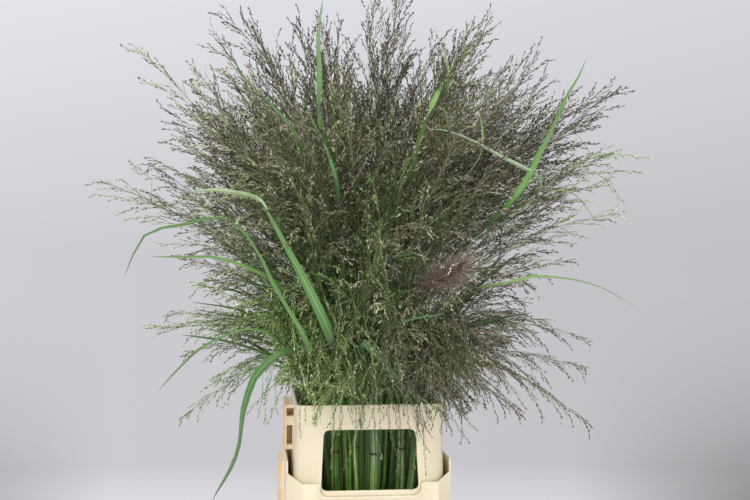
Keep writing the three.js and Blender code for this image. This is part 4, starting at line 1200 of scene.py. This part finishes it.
class Foliage:
    """Blades gathered into one mesh."""

    def __init__(self):
        self.points, self.faces, self.maps, self.tones = [], [], [], []
        self.count = 0

    def add_blade(self, path, width, roll, tone, fold=0.32, twist=0.4, rows=BLADE_ROWS):
        line = smooth_line(path, rows)
        aims = unit(np.gradient(line, axis=0))
        share = np.linspace(0, 1, rows)
        side = unit(np.cross(line[-1] - line[0], UP) + np.array([1e-6, 0, 0]))
        level = unit(np.cross(aims, UP) + 0.25 * side)
        across = roll_about(level, aims, roll + twist * (share - 0.3))
        lift = np.cross(across, aims)
        half = width / 2 * np.minimum(0.2 + 3.0 * share, 1) * (1 - share**2.4) ** 0.8 + 0.0003
        half = half[:, None]
        wave = 0.06 * np.sin(share * 19 + tone * 40)[:, None]
        left = line - across * half + lift * half * (fold + wave)
        right = line + across * half + lift * half * (fold - wave)
        under = line - lift * np.minimum(0.0006, half * 0.5)
        ring = np.stack([left, line, right, under], 1).reshape(-1, 3)
        first = self.count + 4 * np.arange(rows - 1)
        for k in range(4):
            a, b = first + k, first + (k + 1) % 4
            self.faces += np.stack([a, b, b + 4, a + 4], 1).tolist()
        last = self.count + 4 * (rows - 1)
        self.faces.append([self.count + k for k in (3, 2, 1, 0)])
        self.faces.append([last + k for k in (0, 1, 2, 3)])
        length = np.linalg.norm(np.diff(line, axis=0), axis=1).sum()
        across_map = np.tile([0.0, 0.5, 1.0, 0.5], rows)
        self.maps.append(np.stack([across_map, np.repeat(share * length, 4)], 1))
        self.points.append(ring)
        self.tones.append(np.full(len(ring), tone))
        self.count += len(ring)

    def to_piece(self, name, finish):
        mesh = bpy.data.meshes.new(name)
        mesh.from_pydata(np.concatenate(self.points).tolist(), [], self.faces)
        spots = np.zeros(len(mesh.loops), np.int32)
        mesh.loops.foreach_get("vertex_index", spots)
        layer = mesh.uv_layers.new(name="blade")
        layer.data.foreach_set("uv", np.concatenate(self.maps)[spots].astype(np.float32).ravel())
        tones = mesh.attributes.new("tone", "FLOAT", "POINT")
        tones.data.foreach_set("value", np.concatenate(self.tones).astype(np.float32))
        shell = bmesh.new()
        shell.from_mesh(mesh)
        bmesh.ops.recalc_face_normals(shell, faces=shell.faces)
        shell.to_mesh(mesh)
        shell.free()
        mesh.shade_smooth()
        mesh.set_sharp_from_angle(angle=math.radians(50))
        mesh.materials.append(finish)
        piece = bpy.data.objects.new(name, mesh)
        scene.collection.objects.link(piece)
        return piece


print("each blade has", (BLADE_ROWS - 1) * 8 + 4, "triangles")

# %% [markdown]
# The green finish is shared by culms and leaves. Across a blade run a dozen fine veins
# and a pale midrib, along it the green shifts in long streaks. Young blades are yellow
# green, shaded ones blue green, so every blade carries its own tone.

# %% Leaf and culm finishes
def green_ramp(tree, source):
    return colour_ramp(tree, source, [
        (0.0, (0.022, 0.065, 0.030)), (0.25, (0.042, 0.130, 0.034)),
        (0.5, (0.080, 0.235, 0.036)), (0.75, (0.24, 0.40, 0.075)), (1.0, (0.40, 0.53, 0.36)),
    ])


def make_leaf_finish():
    material, tree, shader = new_finish("grass_blade", 0.42)
    uv = add_node(tree, "ShaderNodeUVMap", uv_map="blade")
    streak_place = add_node(tree, "ShaderNodeMapping", {"Scale": (9.0, 2.2, 1.0)})
    streaks = add_node(tree, "ShaderNodeTexNoise", {"Scale": 3.0, "Detail": 3.0})
    tree.links.new(uv.outputs["UV"], streak_place.inputs["Vector"])
    tree.links.new(streak_place.outputs["Vector"], streaks.inputs["Vector"])
    shift = spread_value(tree, streaks.outputs["Fac"], 0.3, 0.7, -0.12, 0.16)
    tone = add_node(tree, "ShaderNodeMath", operation="ADD")
    tree.links.new(attribute(tree, "tone"), tone.inputs[0])
    tree.links.new(shift, tone.inputs[1])
    veins = add_node(tree, "ShaderNodeTexWave", {"Scale": 4.2, "Distortion": 0.0},
                     wave_type="BANDS", bands_direction="X")
    tree.links.new(uv.outputs["UV"], veins.inputs["Vector"])
    parts = add_node(tree, "ShaderNodeSeparateXYZ")
    tree.links.new(uv.outputs["UV"], parts.inputs["Vector"])
    off_rib = add_node(tree, "ShaderNodeMath", {1: 0.5}, operation="SUBTRACT")
    tree.links.new(parts.outputs["X"], off_rib.inputs[0])
    from_rib = add_node(tree, "ShaderNodeMath", operation="ABSOLUTE")
    tree.links.new(off_rib.outputs["Value"], from_rib.inputs[0])
    rib = spread_value(tree, from_rib.outputs["Value"], 0.0, 0.07, 0.55, 0.0)
    plain = green_ramp(tree, tone.outputs["Value"])
    veined = blended(tree, spread_value(tree, veins.outputs["Fac"], 0.0, 1.0, 0.0, 0.16),
                     plain, (0.30, 0.42, 0.16, 1.0))
    ribbed = blended(tree, rib, veined, (0.42, 0.50, 0.26, 1.0))
    tree.links.new(ribbed, shader.inputs["Base Color"])
    add_relief(tree, shader, veins.outputs["Fac"], 0.25, 0.0008)
    shader.inputs["Sheen Weight"].default_value = 0.15
    return material


def make_culm_finish():
    material, tree, shader = new_finish("grass_culm", 0.38)
    streaks = noise_at(tree, 40.0, 3.0, (6.0, 6.0, 0.5))
    tone = add_node(tree, "ShaderNodeMath", operation="ADD")
    tree.links.new(attribute(tree, "tone"), tone.inputs[0])
    tree.links.new(spread_value(tree, streaks, 0.3, 0.7, -0.15, 0.2), tone.inputs[1])
    tree.links.new(green_ramp(tree, tone.outputs["Value"]), shader.inputs["Base Color"])
    add_relief(tree, shader, noise_at(tree, 300.0, 2.0, (4.0, 4.0, 0.4)), 0.25, 0.0006)
    return material


leaf_finish = make_leaf_finish()
culm_finish = make_culm_finish()
print("finishes:", leaf_finish.name, culm_finish.name)

# %% [markdown]
# Seventeen long blades stand out on the front of the spray and are laid one by one, as
# they run seen from the front. Each row gives points as X and Z in millimetres at the
# middle of the bucket, then the width in millimetres, the roll in degrees and the tone.
# The blades are pulled towards the eye until they lie on the front of the spray, and
# each one starts on the nearest culm. The one marked "deep" lies further back among the
# seeds, and the one marked "joined" goes on from the blade before it.

# %% Blades that show in front
FRONT_BLADES = [
    ([(-74, 493), (-112, 570), (-150, 640), (-178, 692), (-200, 732)], 18, 55, 0.38),
    ([(-190, 716), (-214, 729), (-244, 735), (-282, 740), (-328, 736)], 9, 60, 0.90,
     "joined"),
    ([(-117, 470), (-163, 544), (-216, 646), (-251, 682), (-346, 672), (-414, 653), (-452, 575)],
     10, 35, 0.46),
    ([(-234, 596), (-282, 610), (-346, 611), (-404, 612)], 9, 35, 0.52),
    ([(-232, 470), (-307, 437), (-354, 394), (-388, 357)], 7, 30, 0.50),
    ([(-172, 415), (-198, 392), (-224, 334), (-239, 239), (-288, 142)], 14, 65, 0.34),
    ([(9, 441), (42, 406), (78, 366), (99, 326)], 17, 50, 0.22, "deep"),
    ([(-84, 900), (-82, 941), (-84, 1032), (-74, 1110)], 15, 10, 0.46),
    ([(-148, 877), (-198, 928), (-235, 965), (-272, 1013)], 9, 40, 0.42),
    ([(-60, 800), (-92, 870), (-120, 930)], 9, 40, 0.34),
    ([(141, 908), (155, 940), (178, 972)], 19, 20, 0.60),
    ([(172, 959), (170, 988), (153, 1034), (140, 1071)], 6, 30, 0.72),
    ([(352, 768), (283, 805), (225, 836), (168, 858), (130, 862)], 9, 50, 0.95),
    ([(320, 751), (355, 821), (384, 877), (407, 928), (434, 972), (448, 1005)], 13, 60, 0.50),
    ([(240, 836), (232, 904)], 10, 30, 0.70),
    ([(411, 741), (473, 674)], 6, 30, 0.60),
    ([(302, 563), (331, 571), (395, 569), (457, 557), (506, 536), (541, 515)], 8, 30, 0.62),
]
CLOUD_HALF, CLOUD_Z = (0.500, 0.340, 0.520), 0.600
DEEP = 0.8


def front_depth(x, z):
    """How near to the eye the front of the spray is, at a place on the middle plane."""
    left = 1 - (x / CLOUD_HALF[0]) ** 2 - ((z - CLOUD_Z) / CLOUD_HALF[2]) ** 2
    return -1.02 * CLOUD_HALF[1] * math.sqrt(max(left, 0.05))


rise_shares = np.linspace(0.05, 1, 20)
culm_rises = [curve_point(stem["curve"], rise_shares * stem["start"]) for stem in stems]


def nearest_culm(target):
    gaps = [np.linalg.norm(rise - target, axis=1) for rise in culm_rises]
    owner = int(np.argmin([gap.min() for gap in gaps]))
    return owner, culm_rises[owner][int(np.argmin(gaps[owner]))]


bunch_of = {stem["number"]: i for i, bunch in enumerate(bunches) for stem in bunch["stems"]}
foliage = [Foliage() for _ in bunches]
for places, width, roll, tone, *marks in FRONT_BLADES:
    places = [(x / 1000, z / 1000) for x, z in places]
    pulled = DEEP if "deep" in marks else 1.0
    drawn = [at_depth(x, z, pulled * front_depth(x, z)) for x, z in places]
    if "joined" in marks:
        root = drawn[0] - (drawn[1] - drawn[0]) * 0.6 - 0.02 * UP
    else:
        inner = at_depth(*places[0], 0.45 * front_depth(*places[0])) - 0.06 * UP
        owner, root = nearest_culm(inner)
    foliage[bunch_of[owner]].add_blade([root, *drawn], width / 1000, math.radians(roll), tone)
print("blades in front:", len(FRONT_BLADES))

# %% [markdown]
# The other blades follow a rule: each leaves its culm at a drawn height, rises close to
# it, and arches away to the side. The steep culms in the middle go without, and on the
# right, where the outer culms lean far over the rim, the blades are cut short.

# %% Blades by rule
FIRST_WITH_BLADE = 11
FAR_OVER = 0.8                        # radians


def vary(a, b):
    """The solid model's own rule for a number between 0 and 1 that looks like chance."""
    wave = math.sin(a * 12.9898 + b * 78.233) * 43758.5453
    return wave - math.floor(wave)


def away_at(turn):
    return np.array([math.cos(turn), math.sin(turn), 0.0])


def rule_blade(stem):
    """The blade that the solid model has on this culm too."""
    number = stem["number"]
    share = between(0.3, 0.85, vary(number, 1)) * stem["start"]
    root = curve_point(stem["curve"], share)[0]
    aim = curve_aim(stem["curve"], share)[0]
    length = between(0.20, 0.34, vary(number, 2))
    away = away_at(stem["heading"] + 0.5)
    bend = root + unit(0.8 * aim + 0.5 * away) * 0.55 * length
    tip = bend + away * 0.42 * length + UP * 0.08 * length
    path = [root, root + aim * 0.12 * length, bend, tip]
    return path, between(0.009, 0.015, vary(number, 3))


def side_blade(stem, draw):
    """A finer blade of the scene's own."""
    share = draw.uniform(0.05, 0.7) * stem["start"]
    root = curve_point(stem["curve"], share)[0]
    aim = curve_aim(stem["curve"], share)[0]
    length = draw.uniform(0.16, 0.30)
    away = away_at(stem["heading"] + draw.normal(0, 0.9))
    rise = unit(aim + away * draw.uniform(0.1, 0.3))
    bend = root + rise * 0.6 * length
    arch = unit(rise + away * draw.uniform(0.2, 1.3) - UP * draw.uniform(0, 0.6))
    path = [root, root + aim * 0.15 * length, bend, bend + arch * 0.4 * length]
    return path, draw.uniform(0.006, 0.013)


def leaf_count():
    return sum(len(blades.tones) for blades in foliage)


draw = np.random.default_rng(41)
for bunch, blades in zip(bunches, foliage):
    for stem in bunch["stems"]:
        if stem["number"] >= FIRST_WITH_BLADE:
            path, width = rule_blade(stem)
            if stem["lean"] > FAR_OVER and math.cos(stem["heading"]) > 0.3:
                path = path[:2] + [between(path[1], path[2], share) for share in (0.6, 0.9)]
            blades.add_blade(path, 0.55 * width, math.radians(45), draw.uniform(0.05, 0.35))
        if draw.random() < 0.5:
            path, width = side_blade(stem, draw)
            blades.add_blade(path, width, draw.uniform(0, math.pi), draw.uniform(0.05, 0.4))
print("blades so far:", leaf_count())

# %% [markdown]
# Where the culms leave the collar, eight broad, dark blades to a bunch stand nearly
# upright. They close the foot of the dome, so that no light shows through it. Lower
# down, three narrow blades stand beside each bunch in the collar, and seven wide ones
# at the sides of its window, where they show best.

# %% Blades at the dome's foot and in the collar
AT_FOOT, IN_COLLAR = 8, 3
BESIDE_WINDOW = [  # X and Y halfway up the collar
    (0.098, -0.03), (0.104, 0.05), (0.088, -0.09), (0.112, 0.0), (-0.096, -0.06),
    (-0.104, 0.04), (-0.085, -0.10),
]
for bunch, blades in zip(bunches, foliage):
    for _ in range(AT_FOOT):
        root = bunch["middle"] * [0.9, 0.9, 1.0] + UP * draw.uniform(0.0, 0.12)
        turn, length = draw.uniform(0, math.tau), draw.uniform(0.25, 0.42)
        aim = unit(UP + 0.5 * away_at(turn) * draw.random() + 1.6 * bunch["middle"] * [1, 1, 0])
        path = [root, root + aim * 0.3 * length, root + aim * 0.7 * length + 0.01 * away_at(turn),
                root + aim * length + 0.05 * away_at(turn)]
        blades.add_blade(path, draw.uniform(0.012, 0.019), draw.uniform(0, math.pi),
                         draw.uniform(0.0, 0.22), rows=9)
for bunch, blades in zip(bunches, foliage):
    for _ in range(IN_COLLAR):
        turn = draw.uniform(0, math.tau)
        beside = TIED_IN * bunch["middle"][:2] + 0.014 * away_at(turn)[:2]
        low, top = draw.uniform(0.03, 0.10), draw.uniform(0.36, 0.50)
        path = [np.append(share * beside, z) for share, z in
                ((draw.uniform(0.5, 0.8), low), (0.95, 0.2), (1.08, 0.29), (1.25, top))]
        blades.add_blade(path, draw.uniform(0.008, 0.016), turn, draw.uniform(0.1, 0.6), twist=0.8)
middles = np.array([bunch["middle"][:2] for bunch in bunches])
for x, y in BESIDE_WINDOW:
    near = int(np.argmin(np.linalg.norm(middles - [x, y], axis=1)))
    path = [np.array([share * x, share * y, z]) for share, z in
            ((0.7, 0.06), (1.0, 0.2), (1.05, 0.29), (1.12, draw.uniform(0.38, 0.46)))]
    foliage[near].add_blade(path, draw.uniform(0.014, 0.020), draw.uniform(1.2, 1.9),
                            draw.uniform(0.12, 0.42))
print("blades in all:", leaf_count())

# %% [markdown]
# The blades of a bunch become one piece and its culms another. Both take the place of
# the bunch's stems in the solid model. A loose culm goes with the bunch of its stem.

# %% Leaves and culms of the eight bunches
for bunch, blades in zip(bunches, foliage):
    number = bunch["number"]
    piece = blades.to_piece(f"leaves_{number}", leaf_finish)
    finish_piece(piece, "leaf_green", f"stems_{number}")
    culms = Drawing()
    for stem in bunch["stems"] + [c for c in loose if bunch_of[c["number"]] == number - 1]:
        line, thick = culm_line(stem)
        culms.add_lines(line[None], thick[None], 0.51 + 0.42 * vary(stem["number"], 9), 1.0)
    piece = grown_piece(f"culms_{number}", culms, spray_tree,
                        {"Stalk sides": 7, "Finish": culm_finish})
    finish_piece(piece, "leaf_green", f"stems_{number}")
print("leaves and culms for", len(bunches), "bunches")

# %% [markdown]
# ## Rubber bands
# Each bunch is held by a rubber band wound twice. A band is a ring swept round the
# bunch: one coil above the other, each with a soft oval section.

# %% Rubber bands
COILS = (0.2460, 0.2480)              # height of each
BAND_RADIUS, BAND_THICK, BAND_HIGH, WOBBLE = 0.00915, 0.00078, 0.00098, 0.00012


def make_rubber_finish():
    material, tree, shader = new_finish("rubber", 0.6)
    tint = colour_ramp(tree, noise_at(tree, 160.0, 4.0),
                       [(0.3, (0.085, 0.050, 0.030)), (0.7, (0.15, 0.095, 0.055))])
    tree.links.new(tint, shader.inputs["Base Color"])
    add_relief(tree, shader, noise_at(tree, 700.0, 3.0), 0.3, 0.0005)
    return material


def make_band(bunch, finish):
    turns, sides = 28, 8
    around = (np.arange(turns) * math.tau / turns)[:, None]
    section = (np.arange(sides) * math.tau / sides)[None, :]
    centre = TIED_IN * bunch["middle"]
    points, faces = [], []
    for coil, height in enumerate(COILS):
        radius = BAND_RADIUS + BAND_THICK * np.cos(section)
        wobble = WOBBLE * np.sin(3 * around + 2 * coil + bunch["number"])
        x = centre[0] + radius * np.cos(around)
        y = centre[1] + radius * np.sin(around)
        z = height + BAND_HIGH * np.sin(section) + wobble
        start = len(points)
        points += np.stack([x, y, z], -1).reshape(-1, 3).tolist()
        for i in range(turns):
            for k in range(sides):
                a, b = start + i * sides, start + (i + 1) % turns * sides
                faces.append([a + k, b + k, b + (k + 1) % sides, a + (k + 1) % sides])
    mesh = bpy.data.meshes.new(f"rubber_{bunch['number']}")
    mesh.from_pydata(points, [], faces)
    mesh.shade_smooth()
    mesh.materials.append(finish)
    piece = bpy.data.objects.new(mesh.name, mesh)
    scene.collection.objects.link(piece)
    return finish_piece(piece, "rubber_band", f"band_{bunch['number']}")


rubber_finish = make_rubber_finish()
bands = [make_band(bunch, rubber_finish) for bunch in bunches]
print("rubber bands:", len(bands))

# %% [markdown]
# ## Bucket and collar
# The frame's solids have the right walls, notches, window and lugs, but knife-sharp
# edges. Moulded plastic never has those. A copy of each solid is merged, its flat faces
# are joined, and a Bevel modifier rounds every sharp edge by under a millimetre.

# %% Moulded copies
SAME_SPOT = 1e-5                      # metres
SAME_PLANE, SHARP = math.radians(0.6), math.radians(32)


def moulded(node, name, finish, slot, edge):
    mesh = nodes[node].data.copy()
    mesh.name = name
    shell = bmesh.new()
    shell.from_mesh(mesh)
    bmesh.ops.remove_doubles(shell, verts=shell.verts, dist=SAME_SPOT)
    bmesh.ops.dissolve_limit(shell, angle_limit=SAME_PLANE, verts=shell.verts,
                             edges=shell.edges)
    shell.to_mesh(mesh)
    shell.free()
    mesh.materials.clear()
    mesh.materials.append(finish)
    piece = bpy.data.objects.new(name, mesh)
    scene.collection.objects.link(piece)
    mesh.shade_smooth()
    bevel = piece.modifiers.new("soft_edges", "BEVEL")
    bevel.width = edge
    bevel.segments = 2
    bevel.limit_method = "ANGLE"
    bevel.angle_limit = SHARP
    bevel.harden_normals = True
    return finish_piece(piece, slot, node)


bucket = moulded("bucket", "trade_bucket", bucket_plastic, "bucket_plastic", 0.0009)
collar = moulded("collar", "loose_collar", collar_plastic, "collar_plastic", 0.0008)
print("bucket faces:", len(bucket.data.polygons), "collar faces:", len(collar.data.polygons))

# %% [markdown]
# ## The floor
# The floor is a wide pale disc. Near the bucket it is plain matt paint that takes soft
# shadows. Further off it glows with the wall's own colour, so no edge shows between
# floor and wall. The glow is a pool of light behind the bucket that dims in a band on
# either side. The bands fade out beyond the edges of the picture, and in front of the
# bucket there are none. The floor isn't part of the object.

# %% Floor
FLOOR_RADIUS = 14.0
FLOOR_COLOUR = (0.62, 0.62, 0.63, 1.0)
# ranges: from, to, and the value at both ends
PAINT_TO_GLOW = (0.35, 0.9, 0.0, 1.0)       # metres from the bucket
POOL = (3.05, 3.7, 1.25, 1.0)               # metres from the eye
BEHIND = (2.6, 3.0, 0.0, 1.0)               # metres beyond the eye
RIGHT_BAND = ((0.25, 0.38, 0.0, 0.52), (0.40, 0.52, 1.0, 0.0))      # in, then out
LEFT_BAND = ((-0.11, -0.20, 0.0, 0.32), (-0.22, -0.34, 1.0, 0.0))
BAND_DISTANCE, BAND_POWER, BAND_MOST = 3.3, 2.5, 1.3    # darker where the floor is near

bpy.ops.mesh.primitive_circle_add(vertices=96, radius=FLOOR_RADIUS, fill_type="NGON")
floor = bpy.context.object
floor.name = "floor"
floor_paint, tree, shader = new_finish("pale_floor", 0.8)


def math_node(operation, first, second=0.0):
    node = add_node(tree, "ShaderNodeMath", operation=operation)
    for slot, value in enumerate((first, second)):
        if isinstance(value, float):
            node.inputs[slot].default_value = value
        else:
            tree.links.new(value, node.inputs[slot])
    return node.outputs["Value"]


def from_point(point):
    place = add_node(tree, "ShaderNodeTexCoord")
    away = add_node(tree, "ShaderNodeVectorMath", {1: point}, operation="SUBTRACT")
    length = add_node(tree, "ShaderNodeVectorMath", operation="LENGTH")
    tree.links.new(place.outputs["Object"], away.inputs[0])
    tree.links.new(away.outputs["Vector"], length.inputs[0])
    return away.outputs["Vector"], length.outputs["Value"]


def band(aside, comes_in, goes_out):
    return math_node("MULTIPLY", spread_value(tree, aside, *comes_in),
                     spread_value(tree, aside, *goes_out))


shader.inputs["Base Color"].default_value = FLOOR_COLOUR
reach = from_point((0.0, 0.0, 0.0))[1]
sight, distance = from_point(tuple(camera.location))
parts = add_node(tree, "ShaderNodeSeparateXYZ")
tree.links.new(sight, parts.inputs["Vector"])
aside = math_node("DIVIDE", parts.outputs["X"], distance)
wall = spread_value(tree, aside, *WALL_FALLOFF)
pool = spread_value(tree, distance, *POOL)
bands_aside = math_node("ADD", band(aside, *RIGHT_BAND), band(aside, *LEFT_BAND))
nearer = math_node("POWER", math_node("DIVIDE", BAND_DISTANCE, distance), BAND_POWER)
depth_share = math_node("MINIMUM", nearer, BAND_MOST)
behind = spread_value(tree, parts.outputs["Y"], *BEHIND)
dimming = math_node("MULTIPLY", math_node("MULTIPLY", depth_share, bands_aside), behind)
lit = math_node("SUBTRACT", 1.0, dimming)
strength = math_node("MULTIPLY", math_node("MULTIPLY", wall, pool), lit)
glow = add_node(tree, "ShaderNodeEmission", {"Color": (*WALL_COLOUR, 1.0)})
tree.links.new(strength, glow.inputs["Strength"])
mix = add_node(tree, "ShaderNodeMixShader")
tree.links.new(spread_value(tree, reach, *PAINT_TO_GLOW), mix.inputs["Fac"])
tree.links.new(shader.outputs["BSDF"], mix.inputs[1])
tree.links.new(glow.outputs["Emission"], mix.inputs[2])
output = next(node for node in tree.nodes if node.type == "OUTPUT_MATERIAL")
tree.links.new(mix.outputs["Shader"], output.inputs["Surface"])
floor.data.materials.append(floor_paint)
print("floor radius:", FLOOR_RADIUS, "m")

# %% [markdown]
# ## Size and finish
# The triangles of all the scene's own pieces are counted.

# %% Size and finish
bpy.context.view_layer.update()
made = [piece for piece in scene.objects if piece.type == "MESH" and piece.name not in nodes]
print("triangles made:", sum(triangles(piece) for piece in made))
